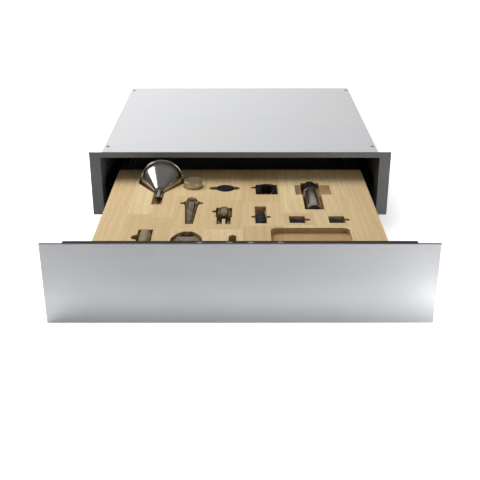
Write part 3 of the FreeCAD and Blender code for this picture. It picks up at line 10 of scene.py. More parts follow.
import bmesh
import bpy
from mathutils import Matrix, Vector

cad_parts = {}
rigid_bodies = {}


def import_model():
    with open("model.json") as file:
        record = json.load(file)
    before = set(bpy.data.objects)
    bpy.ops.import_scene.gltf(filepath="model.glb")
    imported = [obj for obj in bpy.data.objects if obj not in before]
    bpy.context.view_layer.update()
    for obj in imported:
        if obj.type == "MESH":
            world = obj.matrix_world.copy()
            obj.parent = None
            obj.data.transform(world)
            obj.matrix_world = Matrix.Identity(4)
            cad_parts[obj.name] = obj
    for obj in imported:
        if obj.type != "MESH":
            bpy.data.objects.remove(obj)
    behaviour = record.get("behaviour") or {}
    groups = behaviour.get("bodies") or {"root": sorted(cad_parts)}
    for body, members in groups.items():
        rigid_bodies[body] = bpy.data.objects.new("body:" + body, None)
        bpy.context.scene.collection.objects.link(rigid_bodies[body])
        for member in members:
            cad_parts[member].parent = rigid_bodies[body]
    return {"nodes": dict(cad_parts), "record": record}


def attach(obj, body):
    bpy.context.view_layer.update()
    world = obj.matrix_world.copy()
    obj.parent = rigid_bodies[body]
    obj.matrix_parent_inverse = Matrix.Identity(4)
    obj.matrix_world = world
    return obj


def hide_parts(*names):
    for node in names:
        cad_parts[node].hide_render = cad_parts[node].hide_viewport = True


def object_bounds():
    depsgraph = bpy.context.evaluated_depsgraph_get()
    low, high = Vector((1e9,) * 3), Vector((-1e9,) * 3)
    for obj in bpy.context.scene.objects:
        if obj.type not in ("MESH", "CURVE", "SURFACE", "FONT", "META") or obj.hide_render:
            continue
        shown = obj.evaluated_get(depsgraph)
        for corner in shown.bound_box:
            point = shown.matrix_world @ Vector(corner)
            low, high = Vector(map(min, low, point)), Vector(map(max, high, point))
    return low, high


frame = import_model()
cad_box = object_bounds()
MM = 0.001
print("model box in mm", [[round(v / MM) for v in corner] for corner in cad_box])

# %% [markdown]
# The photograph was taken from the front and a little above, along the middle of the drawer. A long lens was
# used, so the sides of the board run together gently. The camera could be matched by eye, but three widths
# in the picture (front, flange and board) fix its distance, height and tilt by similar triangles.

# %% Camera
PICTURE = 480
LENS, SENSOR = 61.3, 36.0
CAMERA_PLACE = Vector((0.0, -1.794, 0.6435))
CAMERA_TILT = math.radians(24.62)


def link(name, data):
    """Puts a new object into the scene."""
    obj = bpy.data.objects.new(name, data)
    bpy.context.scene.collection.objects.link(obj)
    return obj


def picture_place(point):
    """Pixel of a point in metres, to compare with the photograph."""
    d = Vector(point) - CAMERA_PLACE
    depth = d.y * math.cos(CAMERA_TILT) - d.z * math.sin(CAMERA_TILT)
    rise = d.y * math.sin(CAMERA_TILT) + d.z * math.cos(CAMERA_TILT)
    focal = LENS / SENSOR * PICTURE
    return (round(PICTURE / 2 + focal * d.x / depth, 1), round(PICTURE / 2 - focal * rise / depth, 1))


camera_data = bpy.data.cameras.new("camera")
camera_data.lens, camera_data.sensor_width, camera_data.clip_end = LENS, SENSOR, 60.0
camera = link("camera", camera_data)
camera.location = CAMERA_PLACE
camera.rotation_euler = (math.pi / 2 - CAMERA_TILT, 0.0, 0.0)
bpy.context.scene.camera = camera
(panel_left, panel_face, _), (panel_right, _, panel_top) = cad_box
print("front panel's upper corners at", [picture_place((x, panel_face, panel_top)) for x in (panel_left, panel_right)])

# %% [markdown]
# A studio floor is a large pale sheet, and soft light comes mostly from above, which leaves the inside of the
# carcass dark. A lamp strong enough to clip the floor to white would wash out the oak. So the
# floor adds a little light of its own, more of it far away, where no shadow falls. The large lamp above shades
# the wood, four softboxes are there for the metal to reflect, and four spots light the floor that the front mirrors.

# %% Floor and light
FLOOR_REACH, FLOOR_DROP = 14.0, 0.0006
FLOOR_GLOW, MIRRORED_GLOW = 0.55, 0.16
GLOW_FADES = (1.0, 2.6)


def fill(tree, node, values, settings=None):
    """Sets a node up: its settings, then its inputs by name or index, linked or set. Returns its outputs."""
    for key, value in (settings or {}).items():
        setattr(node, key, value)
    for key, value in (values or {}).items():
        for part in value if isinstance(value, list) else [value]:
            if isinstance(part, bpy.types.NodeSocket):
                tree.links.new(part, node.inputs[key])
            else:
                node.inputs[key].default_value = part
    return node.outputs


def put(tree, kind, values=None, **settings):
    """Adds a shader node and returns its outputs."""
    return fill(tree, tree.nodes.new("ShaderNode" + kind), values, settings)


def step(tree, operation, *values):
    """One step of arithmetic on numbers or sockets."""
    return put(tree, "Math", dict(enumerate(values)), operation=operation)[0]


def vector_step(tree, operation, first, second):
    return put(tree, "VectorMath", {0: first, 1: second}, operation=operation)[0]


def span(tree, value, low, high, from_low=0.0, from_high=1.0):
    """Maps a value's range onto another one, and holds it there."""
    return put(tree, "MapRange", {"Value": value, "From Min": from_low, "From Max": from_high,
                                  "To Min": low, "To Max": high})[0]


def seen_directly(tree, rays):
    return step(tree, "MAXIMUM", rays["Is Camera Ray"], rays["Is Transmission Ray"])


def floor_material():
    """White card with a glow for the camera and another for what mirrors it."""
    material = bpy.data.materials.new("studio_floor")
    material.use_nodes = True
    tree = material.node_tree
    rays = put(tree, "LightPath")
    mirrored = step(tree, "MULTIPLY", rays["Is Glossy Ray"], MIRRORED_GLOW)
    where = put(tree, "TexCoord")["Object"]
    away = put(tree, "VectorMath", {0: where}, operation="LENGTH")["Value"]
    direct = step(tree, "MULTIPLY", seen_directly(tree, rays), span(tree, away, FLOOR_GLOW, 1.0, *GLOW_FADES))
    fill(tree, tree.nodes["Principled BSDF"], {
        "Base Color": (0.83, 0.83, 0.83, 1), "Roughness": 0.9, "Specular IOR Level": 0.1,
        "Emission Color": (1, 1, 1, 1), "Emission Strength": step(tree, "ADD", direct, mirrored)})
    return material


floor_mesh = bpy.data.meshes.new("floor")
floor_mesh.from_pydata([(x * FLOOR_REACH, y * FLOOR_REACH, 0) for x, y in ((-1, -1), (1, -1), (1, 1), (-1, 1))],
                       [], [(0, 1, 2, 3)])
floor_mesh.materials.append(floor_material())
floor = link("floor", floor_mesh)
floor.location.z = -FLOOR_DROP

# Name, place, target, size and power of each lamp, and whether metal may mirror it
for name, place, target, size, power, mirrored in (
        ("top_softbox", (-0.8, 0.7, 1.9), (0.0, -0.40, 0.0), (2.0, 1.6), 66, False),
        ("left_card", (-1.3, 0.0, 1.1), (-0.15, -0.32, 0.1), (0.55, 0.8), 4, True),
        ("back_card", (-0.2, 2.0, 1.15), (0.0, -0.4, 0.08), (2.6, 0.9), 3.3, True),
        ("right_softbox", (1.9, -1.9, 1.0), (0.1, -0.6, 0.05), (0.9, 1.2), 6.5, True),
        ("left_softbox", (-1.8, -1.4, 1.3), (-0.1, -0.5, 0.1), (0.8, 1.0), 2, True),
        ("floor_spot_right", (0.5, -1.1, 0.28), (0.38, -0.82, 0.0), (0.25, 0.25), 1.35, False),
        ("floor_spot_near_right", (0.42, -0.8, 0.06), (0.38, -0.7, 0.0), (0.16, 0.03), 0.5, False),
        ("floor_strip", (0.0, -0.8, 0.05), (0.0, -0.7, 0.0), (0.7, 0.03), 0.3, False),
        ("floor_spot_left", (-0.5, -0.95, 0.12), (-0.4, -0.75, 0.0), (0.15, 0.08), 0.2, False)):
    data = bpy.data.lights.new(name, "AREA")
    data.shape, data.energy = "RECTANGLE", power
    data.size, data.size_y = size
    lamp = link(name, data)
    lamp.location = place
    lamp.rotation_euler = (Vector(target) - Vector(place)).to_track_quat("-Z", "Y").to_euler()
    lamp.visible_camera, lamp.visible_glossy = False, mirrored

# A dim sky for what the metal mirrors, dimmer behind the drawer, and plain white for the camera
world = bpy.data.worlds.new("studio")
world.use_nodes = True
bpy.context.scene.world = world
sky = world.node_tree
way = put(sky, "SeparateXYZ", {"Vector": put(sky, "TexCoord")["Generated"]})
dim = step(sky, "MULTIPLY", span(sky, way["Z"], 0.08, 0.21, 0.0, 0.8), span(sky, way["Y"], 1.0, 0.25, -0.1, 0.7))
strength = put(sky, "Mix", {"Factor": seen_directly(sky, put(sky, "LightPath")), "A": dim, "B": 1.0})
fill(sky, sky.nodes["Background"], {"Color": (1, 1, 1, 1), "Strength": strength["Result"]})
bpy.context.scene.view_settings.view_transform = "Standard"

# %% [markdown]
# Effects that several finishes share are built once, as node groups: brushed lines, a fine moulded skin, worn
# edges that also carry a painted highlight, and soft stains. An image could do the same, but noise in object
# space has no seams, keeps its size in millimetres on every piece, and stays sharp close up.

# %% Shared finish groups
def effect(name, inputs, outputs, build):
    """A shader node group. Inputs are (name, default) pairs; build fills it and returns the output sockets."""
    tree = bpy.data.node_groups.new(name, "ShaderNodeTree")
    for label, default in inputs:
        kind = "NodeSocketVector" if label in ("Vector", "Stretch") else (
            "NodeSocketColor" if isinstance(default, tuple) else "NodeSocketFloat")
        socket = tree.interface.new_socket(label, in_out="INPUT", socket_type=kind)
        if default is not None:
            socket.default_value = default
    for label, kind in outputs:
        tree.interface.new_socket(label, in_out="OUTPUT", socket_type="NodeSocket" + kind)
    given = tree.nodes.new("NodeGroupInput")
    result = tree.nodes.new("NodeGroupOutput")
    for socket, target in zip(build(tree, given.outputs), result.inputs):
        tree.links.new(socket, target)
    return tree


def noise(tree, vector, scale, detail, roughness=0.5, output="Fac"):
    return put(tree, "TexNoise", {"Vector": vector, "Scale": scale, "Detail": detail,
                                  "Roughness": roughness})[output]


def drawn_out(tree, vector, stretch, detail, roughness=0.5):
    """Noise with its own cells per metre along X, Y and Z, so that it can run in long lines."""
    return noise(tree, vector_step(tree, "MULTIPLY", vector, stretch), 1.0, detail, roughness)


def brushed_lines(tree, given):
    """Fine parallel scratches: noise squeezed along one axis by the Stretch input, and broader bands."""
    squeezed = vector_step(tree, "MULTIPLY", given["Vector"], given["Stretch"])
    fine = noise(tree, squeezed, 1.0, 3.0)
    mixed = put(tree, "Mix", {"Factor": 0.35, "A": fine, "B": noise(tree, squeezed, 0.13, 2.0)})
    return [mixed["Result"], fine]


def moulded_skin(tree, given):
    """The very fine pebbled skin of moulded plastic and powder coating."""
    cells = put(tree, "TexVoronoi", {"Vector": given["Vector"], "Scale": given["Scale"]}, feature="SMOOTH_F1")
    return [cells["Distance"], noise(tree, given["Vector"], 40.0, 3.0)]


def worn_and_highlit_edges(tree, given):
    """White where the surface turns an edge within the radius, broken up as rubbing leaves it.
    The finishes use it for rubbed wear and as a painted highlight along edges.
    """
    bevel = put(tree, "Bevel", {"Radius": given["Radius"]}, samples=4)[0]
    plain = put(tree, "NewGeometry")["Normal"]
    same = put(tree, "VectorMath", {0: bevel, 1: plain}, operation="DOT_PRODUCT")["Value"]
    broken = span(tree, noise(tree, given["Vector"], 160.0, 3.0), 0.0, 1.0, 0.35, 0.6)
    return [step(tree, "MULTIPLY", span(tree, same, 0.0, 1.0, 0.98, 0.8), broken), bevel]


def soft_stains(tree, given):
    """Faint handling marks: broad soft clouds with a few fine ones in them."""
    return [span(tree, noise(tree, given["Vector"], given["Scale"], 4.0, 0.6), 0.0, 1.0, 0.42, 0.7)]


BRUSHED = effect("brushed_lines", [("Vector", None), ("Stretch", None)], [("Mask", "Float"), ("Height", "Float")],
                 brushed_lines)
SKIN = effect("moulded_skin", [("Vector", None), ("Scale", 900.0)], [("Height", "Float"), ("Drift", "Float")],
              moulded_skin)
EDGES = effect("worn_and_highlit_edges", [("Vector", None), ("Radius", 0.0006)], [("Mask", "Float"), ("Normal", "Vector")],
               worn_and_highlit_edges)
STAINS = effect("soft_stains", [("Vector", None), ("Scale", 9.0)], [("Mask", "Float")], soft_stains)


def blend_colour(tree, mask, first, second):
    """Mixes two colours by a mask; either may be a socket or an RGB triple."""
    ends = [c if isinstance(c, bpy.types.NodeSocket) else (*c, 1) for c in (first, second)]
    return put(tree, "Mix", {0: mask, 6: ends[0], 7: ends[1]}, data_type="RGBA")[2]


class Finish:
    """A material under way: its tree, the place in the object, its edge mask for wear and painted highlight, and the
    colour so far.
    """

    def __init__(self, name, edge_radius):
        self.material = bpy.data.materials.new(name)
        self.material.use_nodes = True
        self.tree = self.material.node_tree
        self.where = put(self.tree, "TexCoord")["Object"]
        self.edges = self.use(EDGES, Radius=edge_radius) if edge_radius else None

    def use(self, group, **values):
        """The outputs of an effect group at the place in the object."""
        return put(self.tree, "Group", {"Vector": self.where, **values}, node_tree=group)

    def start(self, mask, first, second):
        self.tone = blend_colour(self.tree, mask, first, second)

    def layer(self, mask, amount, colour):
        """Lays a colour over the one so far, where the mask is white and by that amount."""
        self.tone = blend_colour(self.tree, span(self.tree, mask, 0.0, amount), self.tone, colour)

    def close(self, roughness, height, bump, plain=None):
        """Joins colour, roughness and relief to the shader; plain values go in as they are."""
        relief = {"Height": height, "Strength": 1.0, "Distance": bump}
        if self.edges:
            relief["Normal"] = self.edges["Normal"]
        fill(self.tree, self.tree.nodes["Principled BSDF"], {
            "Base Color": self.tone, "Roughness": roughness,
            "Normal": put(self.tree, "Bump", relief)[0], **(plain or {})})
        return self.material


def times(colour, share):
    return tuple(min(1.0, c * share) for c in colour)


print("effect groups", [g.name for g in bpy.data.node_groups])

# %% [markdown]
# The front is stainless sheet, brushed from side to side. Brushing could be drawn with an anisotropic
# shader alone, but real sheet also shows single lines and broad bands, so long stretched noise moves the colour
# and the roughness a little, and its height bends the light across the lines. The stoppers and the corkscrew
# are coloured a browner steel than the funnel, as a painted reflection of the brown pockets that they lie in.

# %% Metal finishes
def metal(name, colour, rough, stretch, bump, stain=0.06, streak=0.12, bare=1.0):
    """A bare metal with brushed or polished lines, faint stains, and edges brightened as a painted highlight."""
    made = Finish(name, 0.0005)
    lines, stains = made.use(BRUSHED, Stretch=stretch), made.use(STAINS)[0]
    made.start(lines["Mask"], times(colour, 1 - streak), colour)
    made.layer(stains, stain, times(colour, 0.7))
    # Painted highlight: the colour along the edges is a quarter brighter than the metal.
    made.layer(made.edges["Mask"], 0.5, times(colour, 1.25))
    roughness = step(made.tree, "ADD", span(made.tree, lines["Mask"], rough * 0.85, rough * 1.2),
                     span(made.tree, stains, 0.0, stain))
    return made.close(roughness, lines["Height"], bump, {"Metallic": bare})


def galvanised():
    """Zinc-plated sheet with its crystal spangle."""
    made = Finish("galvanised", 0.0004)
    spangle = put(made.tree, "TexVoronoi", {"Vector": made.where, "Scale": 220.0})
    lines = made.use(BRUSHED, Stretch=(900.0, 8.0, 900.0))
    made.start(spangle["Color"], (0.50, 0.52, 0.54), (0.66, 0.67, 0.68))
    made.layer(lines["Mask"], 0.25, (0.42, 0.43, 0.45))
    # Painted highlight: a pale colour along the edges.
    made.layer(made.edges["Mask"], 0.6, (0.8, 0.8, 0.8))
    roughness = span(made.tree, spangle["Distance"], 0.28, 0.42, 0.0, 0.004)
    return made.close(roughness, lines["Height"], 0.00002, {"Metallic": 1.0})


def zinc_sheet():
    """Matt zinc-plated cover sheet: pale, with faint rolled lines and cloudy patches."""
    made = Finish("zinc_cover", 0.0004)
    lines, clouds = made.use(BRUSHED, Stretch=(6.0, 300.0, 300.0)), made.use(STAINS, Scale=5.0)[0]
    made.start(lines["Mask"], (0.77, 0.78, 0.79), (0.84, 0.84, 0.85))
    made.layer(clouds, 0.25, (0.74, 0.75, 0.77))
    # Painted highlight: a paler colour along the edges.
    made.layer(made.edges["Mask"], 0.5, (0.93, 0.93, 0.93))
    return made.close(span(made.tree, clouds, 0.5, 0.62), lines["Height"], 0.00002, {"Metallic": 0.45})


# Name, colour, roughness, cells per metre along X, Y and Z, and height of the lines in metres
finishes = {"zinc_cover": zinc_sheet(), "galvanised": galvanised()}
for name, colour, rough, stretch, bump, more in (
        ("stainless_front", (0.48, 0.49, 0.505), 0.36, (2.5, 900.0, 900.0), 0.000012,
         {"stain": 0.03, "streak": 0.08}),
        ("bearing_steel", (0.7, 0.7, 0.7), 0.14, (400.0, 60.0, 400.0), 0.000004, {}),
        ("bright_steel", (0.80, 0.76, 0.69), 0.17, (500.0, 60.0, 500.0), 0.000003, {"streak": 0.05}),
        # The warm brown of satin_steel and of the next finish is a painted reflection of the oak pockets.
        ("satin_steel", (0.61, 0.51, 0.34), 0.34, (60.0, 900.0, 60.0), 0.000008, {"bare": 0.8}),
        ("smoked_steel", (0.48, 0.385, 0.28), 0.2, (500.0, 60.0, 500.0), 0.000003, {"streak": 0.08}),
        ("pump_steel", (0.78, 0.745, 0.66), 0.22, (60.0, 900.0, 60.0), 0.000004, {}),
        ("screw_steel", (0.86, 0.86, 0.85), 0.2, (700.0, 700.0, 700.0), 0.000004, {}),
        ("spring_steel", (0.42, 0.42, 0.43), 0.3, (500.0, 500.0, 500.0), 0.000006, {})):
    finishes[name] = metal(name, colour, rough, stretch, bump, **more)
print("metal finishes", len(finishes))

# %% [markdown]
# Painted sheet, moulded plastic and rubber reflect alike but differ in skin. One function makes them all
# from a colour, a gloss, the size of the skin's pebbles and how far the edges are rubbed. Separate
# materials would repeat the same dozen nodes six times.

# %% Paint, plastic and rubber
def coated(name, colour, rough, pebble, bump, rubbed=0.25, coat=0.0):
    made = Finish(name, 0.0006)
    skin, stains = made.use(SKIN, Scale=pebble), made.use(STAINS, Scale=14.0)[0]
    pale = tuple(min(1.0, c * 1.8 + 0.02) for c in colour)
    made.start(span(made.tree, skin["Drift"], 0.0, 0.35), colour, times(colour, 0.8))
    made.layer(stains, 0.12, pale)
    made.layer(made.edges["Mask"], rubbed, pale)
    roughness = step(made.tree, "ADD", span(made.tree, skin["Drift"], rough * 0.85, rough * 1.15),
                     span(made.tree, stains, 0.0, 0.08))
    return made.close(roughness, skin["Height"], bump, {
        "Specular IOR Level": 0.3, "Coat Weight": coat, "Coat Roughness": 0.08})


for name, colour, rough, pebble, bump, more in (
        ("dark_paint", (0.165, 0.165, 0.168), 0.5, 1400.0, 0.00003, {}),
        ("black_paint", (0.022, 0.022, 0.0225), 0.5, 1400.0, 0.00003, {}),
        ("black_plastic", (0.009, 0.009, 0.0095), 0.42, 1800.0, 0.00004, {}),
        ("gloss_black", (0.012, 0.012, 0.013), 0.22, 1200.0, 0.000006, {"coat": 0.3}),
        ("black_rubber", (0.022, 0.021, 0.021), 0.62, 1500.0, 0.00005, {"rubbed": 0.15}),
        ("grey_plastic", (0.12, 0.12, 0.122), 0.48, 1600.0, 0.00004, {})):
    finishes[name] = coated(name, colour, rough, pebble, bump, **more)
print("finishes so far", len(finishes))

# %% [markdown]
# The board is oak, glued up from uneven staves with end joints, so each length has its own tone and grain. A
# photograph of wood would show one board only. Here comparisons with the joints' places give every length
# a number, which picks a tone and shifts the noise that draws the fibres, the rings and the dark pores.

# %% Oak and plywood
FACE = -698.0
STAVE_EDGES = (-200, -156, -119, -61, 5, 75, 128, 197)
NO_JOINT = 999
END_JOINTS = ((NO_JOINT, NO_JOINT), (240, NO_JOINT), (225, NO_JOINT), (178, 328), (173, 308), (188, 298), (190, 245),
              (186, 248), (NO_JOINT, NO_JOINT))
VENEER = 0.0015


def plank_number(tree, vector):
    """Numbers the glued lengths: counts the stave edges to the left, then the end joints in front."""
    split = put(tree, "SeparateXYZ", {"Vector": vector})
    totals = [0.0] + [(FACE + place) * MM for place in END_JOINTS[0]]
    for k, edge in enumerate(STAVE_EDGES):
        past = step(tree, "GREATER_THAN", split["X"], edge * MM)
        moves = [3.0] + [(b - a) * MM for a, b in zip(END_JOINTS[k], END_JOINTS[k + 1])]
        totals = [step(tree, "MULTIPLY_ADD", past, move, total) for move, total in zip(moves, totals)]
    number = totals[0]
    for joint in totals[1:]:
        number = step(tree, "ADD", number, step(tree, "GREATER_THAN", split["Y"], joint))
    return number


def oak_grain(tree, given):
    """Clouds, year rings, fibres, pores and milled faces, laid one over the other on each length's own tone.
    The milled faces get a brown that is partly the cut wood's own tone and partly painted shade in the pockets.
    """
    chance = put(tree, "TexWhiteNoise", {"W": plank_number(tree, given["Vector"])}, noise_dimensions="1D")
    shift = vector_step(tree, "MULTIPLY", chance["Color"], (0.7, 0.9, 0.5))
    moved = vector_step(tree, "ADD", given["Vector"], shift)
    slow = vector_step(tree, "MULTIPLY", moved, (1.0, 0.10, 1.0))
    sway = vector_step(tree, "MULTIPLY", noise(tree, slow, 16.0, 2.0, output="Color"), (0.05, 0.0, 0.05))
    rings = put(tree, "TexWave", {"Vector": vector_step(tree, "ADD", slow, sway), "Scale": 22.0, "Distortion": 2.0,
                                  "Detail": 2.0, "Detail Scale": 1.5},
                wave_type="BANDS", bands_direction="X", wave_profile="SAW")["Fac"]
    clouds = drawn_out(tree, moved, (22.0, 7.0, 22.0), 2.0)
    fibre = drawn_out(tree, moved, (700.0, 14.0, 700.0), 4.0, 0.65)
    pores = span(tree, drawn_out(tree, moved, (1500.0, 60.0, 1500.0), 1.0), 0.0, 1.0, 0.66, 0.72)
    colour = blend_colour(tree, chance["Value"], given["Pale"], given["Warm"])
    for mask, tone in ((span(tree, clouds, 0.0, 0.45, 0.4, 0.7), "Warm"), (span(tree, rings, 0.0, 0.26), "Dark"),
                       (span(tree, fibre, 0.0, 0.36, 0.35, 0.8), "Dark"), (span(tree, pores, 0.0, 0.5), "Pore"),
                       (span(tree, given["Milled"], 0.0, 0.72), "Cut_And_Shade")):
        colour = blend_colour(tree, mask, colour, given[tone])
    return [colour, fibre, step(tree, "SUBTRACT", fibre, pores)]


# The last colour darkens milled faces: partly the cut wood's own tone, partly painted shade in the pockets.
OAK = effect("oak_grain", [("Vector", None), ("Milled", 0.0), ("Pale", (0.72, 0.575, 0.335, 1)),
                           ("Warm", (0.57, 0.41, 0.21, 1)), ("Dark", (0.36, 0.235, 0.11, 1)),
                           ("Pore", (0.18, 0.11, 0.05, 1)), ("Cut_And_Shade", (0.33, 0.18, 0.07, 1))],
             [("Color", "Color"), ("Fibre", "Float"), ("Height", "Float")], oak_grain)


def oak():
    made = Finish("oak", 0.0009)
    milled = put(made.tree, "Attribute", attribute_name="milled")["Fac"]
    grain = made.use(OAK, Milled=milled)
    made.tone = grain["Color"]
    # Painted highlight: a paler colour along the board's edges and the rims of its pockets.
    made.layer(made.edges["Mask"], 0.3, (0.68, 0.55, 0.36))
    made.layer(made.use(STAINS, Scale=7.0)[0], 0.07, (0.42, 0.29, 0.14))
    return made.close(span(made.tree, grain["Fibre"], 0.42, 0.6), grain["Height"], 0.00006)


def plywood():
    """Bearers under the board: thin veneers stacked upwards, with grain across them."""
    made = Finish("plywood", None)
    height = put(made.tree, "SeparateXYZ", {"Vector": made.where})["Z"]
    layer = step(made.tree, "FLOOR", step(made.tree, "DIVIDE", height, VENEER))
    chance = put(made.tree, "TexWhiteNoise", {"W": layer}, noise_dimensions="1D")["Value"]
    fibre = drawn_out(made.tree, made.where, (12.0, 500.0, 700.0), 3.0)
    made.start(chance, (0.62, 0.47, 0.29), (0.43, 0.30, 0.17))
    made.layer(fibre, 0.5, (0.36, 0.25, 0.14))
    return made.close(span(made.tree, fibre, 0.55, 0.75), fibre, 0.00008)


finishes["oak"] = oak()
finishes["plywood"] = plywood()
print("finishes", len(finishes))

# %% [markdown]
# Stoppers, pump, funnel and corkscrew are turned on a lathe or moulded, so each is a profile spun about its
# axis. Spinning with many sides and small rounded corners gives true highlights. A subdivided block would
# do as well, but it can't keep a groove or a bead as crisp as a profile does.

# %% Forms that several pieces share
TURN_SIDES = 96
DIRECTIONS = {"X": ((1, 0, 0), (0, 1, 0), (0, 0, 1)), "Y": ((0, 1, 0), (0, 0, 1), (1, 0, 0)),
              "Z": ((0, 0, 1), (1, 0, 0), (0, 1, 0))}


def at(distance):
    """Y in millimetres of a place behind the open front's face."""
    return FACE + distance


def quarter(steps=10):
    """Angles of a quarter turn, without its end."""
    return [math.pi / 2 * k / steps for k in range(steps)]


def bend(start, corner, end, steps):
    """Points on a smooth curve from start to end that is pulled towards a corner."""
    return [tuple((1 - t) ** 2 * a + 2 * t * (1 - t) * c + t * t * b for a, c, b in zip(start, corner, end))
            for t in (k / steps for k in range(steps + 1))]


def soften(profile, cut=0.4, steps=5):
    """Rounds a profile's corners. A point may give its own reach as a third value; points on the axis stay."""
    out = []
    for i, here in enumerate(profile):
        reach = here[2] if len(here) > 2 else cut
        if here[0] == 0 or reach == 0:
            out.append(here[:2])
            continue
        ends = []
        for other in (profile[i - 1], profile[(i + 1) % len(profile)]):
            gap = math.dist(here[:2], other[:2])
            part = min(reach, 0.45 * gap) / gap
            ends.append([h + (o - h) * part for h, o in zip(here[:2], other[:2])])
        out += bend(ends[0], here[:2], ends[1], steps)
    return out


def lathe(form, profile, place, axis="Y", sides=TURN_SIDES):
    """Adds a spun loop of (radius, distance) pairs to a form, in millimetres."""
    along, first, second = [Vector(v) for v in DIRECTIONS[axis]]
    turns = [2 * math.pi * k / sides for k in range(sides)]
    rings = []
    for radius, distance in profile:
        centre = Vector(place) + along * distance
        if radius == 0:
            rings.append([form.verts.new(centre * MM)])
            continue
        rings.append([form.verts.new((centre + (first * math.cos(a) + second * math.sin(a)) * radius) * MM)
                      for a in turns])
    for low, high in zip(rings, rings[1:] + rings[:1]):
        for k in range(sides):
            corners = []
            for vert in (low[k % len(low)], low[(k + 1) % len(low)], high[(k + 1) % len(high)], high[k % len(high)]):
                if vert not in corners:
                    corners.append(vert)
            if len(corners) > 2:
                form.faces.new(corners)
    return form


def rod(radius, length):
    """Profile of a plain round rod, for the lathe."""
    return [(0, 0), (radius, 0), (radius, length), (0, length)]


def enclose(form, low, high):
    """Closes two loops of points into a solid: a cap on each and sides between. Returns the caps."""
    caps = [form.faces.new(low), form.faces.new(high)]
    for k, vert in enumerate(low):
        after = (k + 1) % len(low)
        form.faces.new((vert, low[after], high[after], high[k]))
    return caps


def round_edges(form, edges, offset, segments, profile=0.5):
    bmesh.ops.bevel(form, geom=edges, offset=offset * MM, segments=segments, affect="EDGES", profile=profile)


def prism(form, points, z_range, bevel=0.0, segments=3):
    """Adds a flat outline in X and Y raised between two heights, with its rims rounded."""
    low, high = [[form.verts.new((x * MM, y * MM, z * MM)) for x, y in points] for z in z_range]
    caps = enclose(form, low, high)
    if bevel:
        round_edges(form, list({edge for cap in caps for edge in cap.edges}), bevel, segments, 0.6)
    return form


def slab(form, x_range, y_range, z_range, bevel=0.0):
    (x0, x1), (y0, y1) = sorted(x_range), sorted(y_range)
    return prism(form, [(x0, y0), (x1, y0), (x1, y1), (x0, y1)], z_range, bevel)


def beam(form, outline, y_range):
    """Adds an outline in X and Z drawn out along Y."""
    near, far = [[form.verts.new((x * MM, y * MM, z * MM)) for x, z in outline] for y in y_range]
    enclose(form, near, far)
    return form


def round_corners(x_range, y_range, radius, steps=12):
    """Outline of a rectangle with round corners."""
    (x0, x1), (y0, y1) = x_range, y_range
    points = []
    for turn, (x, y) in enumerate(((x1 - radius, y1 - radius), (x0 + radius, y1 - radius),
                                   (x0 + radius, y0 + radius), (x1 - radius, y0 + radius))):
        for k in range(steps + 1):
            angle = math.pi / 2 * (turn + k / steps)
            points.append((x + radius * math.cos(angle), y + radius * math.sin(angle)))
    return [p for i, p in enumerate(points) if math.dist(p, points[i - 1]) > 1e-6]


def smooth(mesh, angle=38.0):
    """Shades a mesh smooth, except at edges sharper than an angle in degrees."""
    mesh.shade_smooth()
    mesh.set_sharp_from_angle(angle=math.radians(angle))
    return mesh


def to_mesh(form, name, angle=38.0):
    """Turns a form into a mesh with outward normals."""
    bmesh.ops.recalc_face_normals(form, faces=form.faces)
    mesh = bpy.data.meshes.new(name)
    form.to_mesh(mesh)
    form.free()
    return smooth(mesh, angle)


made_pieces = []


def piece(name, mesh, body, slot, *nodes, finish=None):
    """Links a form or mesh as a piece of a body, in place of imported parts: those named, or its namesake."""
    nodes = nodes or (name,)
    if isinstance(mesh, bmesh.types.BMesh):
        mesh = to_mesh(mesh, name)
    obj = link(name + "_smooth", mesh)
    if not mesh.materials:
        mesh.materials.append(finishes[finish or slot])
    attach(obj, body)
    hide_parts(*nodes)
    made_pieces.append(obj)
    return obj


def turned(name, body, slot, profile, place, axis="Y", cut=0.4, finish=None):
    return piece(name, lathe(bmesh.new(), soften(profile, cut), place, axis), body, slot, finish=finish)


print("helpers ready,", TURN_SIDES, "sides to a turned piece")

# %% [markdown]
# The funnel is spun from thin sheet: spout, cone, a rolled shoulder and a beaded mouth. Its wall is drawn on
# both sides, as the camera looks past the rim. The stoppers and the pump lie in their own pockets.
# Grooves and beads are where hands and bottles grip them.

# %% Funnel, stoppers and pump
FUNNEL_X, PUMP_X, PUMP_Z, CONE_X, POURER_X, THERMOMETER_X = -152.7, 134.5, 74.5, -88, 36.8, -159.5
ROUND_PLACE, RING_PLACE = (-90, at(378)), (-27.7, at(367))
SHORT_STOPPERS, SHORT_Y = ((100.0, "short_stopper_left"), (169.0, "short_stopper_right")), at(215)
SPOUT_END, SPOUT_TOP, SPOUT_WIDTH, SPOUT_SLANT = at(312), 87.5, 13, 20

funnel_wall = [(6.5, 0, 0.3), (7.5, 38, 7), (37, 85.6, 8), (39.4, 91.6, 4), (40, 105.4, 0.6), (41.4, 106.2, 1),
               (41.4, 107.9, 1), (40, 108.6, 0.6), (39.1, 107.4, 0.4), (38.4, 91.6, 4), (36, 85.6, 8), (6.5, 38, 7),
               (5.5, 0, 0.3)]
funnel_mesh = to_mesh(lathe(bmesh.new(), soften(funnel_wall), (FUNNEL_X, at(309.4), 81)), "funnel_body")
for vert in funnel_mesh.vertices:
    y, z = vert.co.y / MM, vert.co.z / MM
    if y < SPOUT_END:
        vert.co.y += SPOUT_SLANT * MM * (SPOUT_TOP - z) / SPOUT_WIDTH
piece("funnel_body", funnel_mesh, "funnel", "bright_steel", "funnel", "funnel_spout")

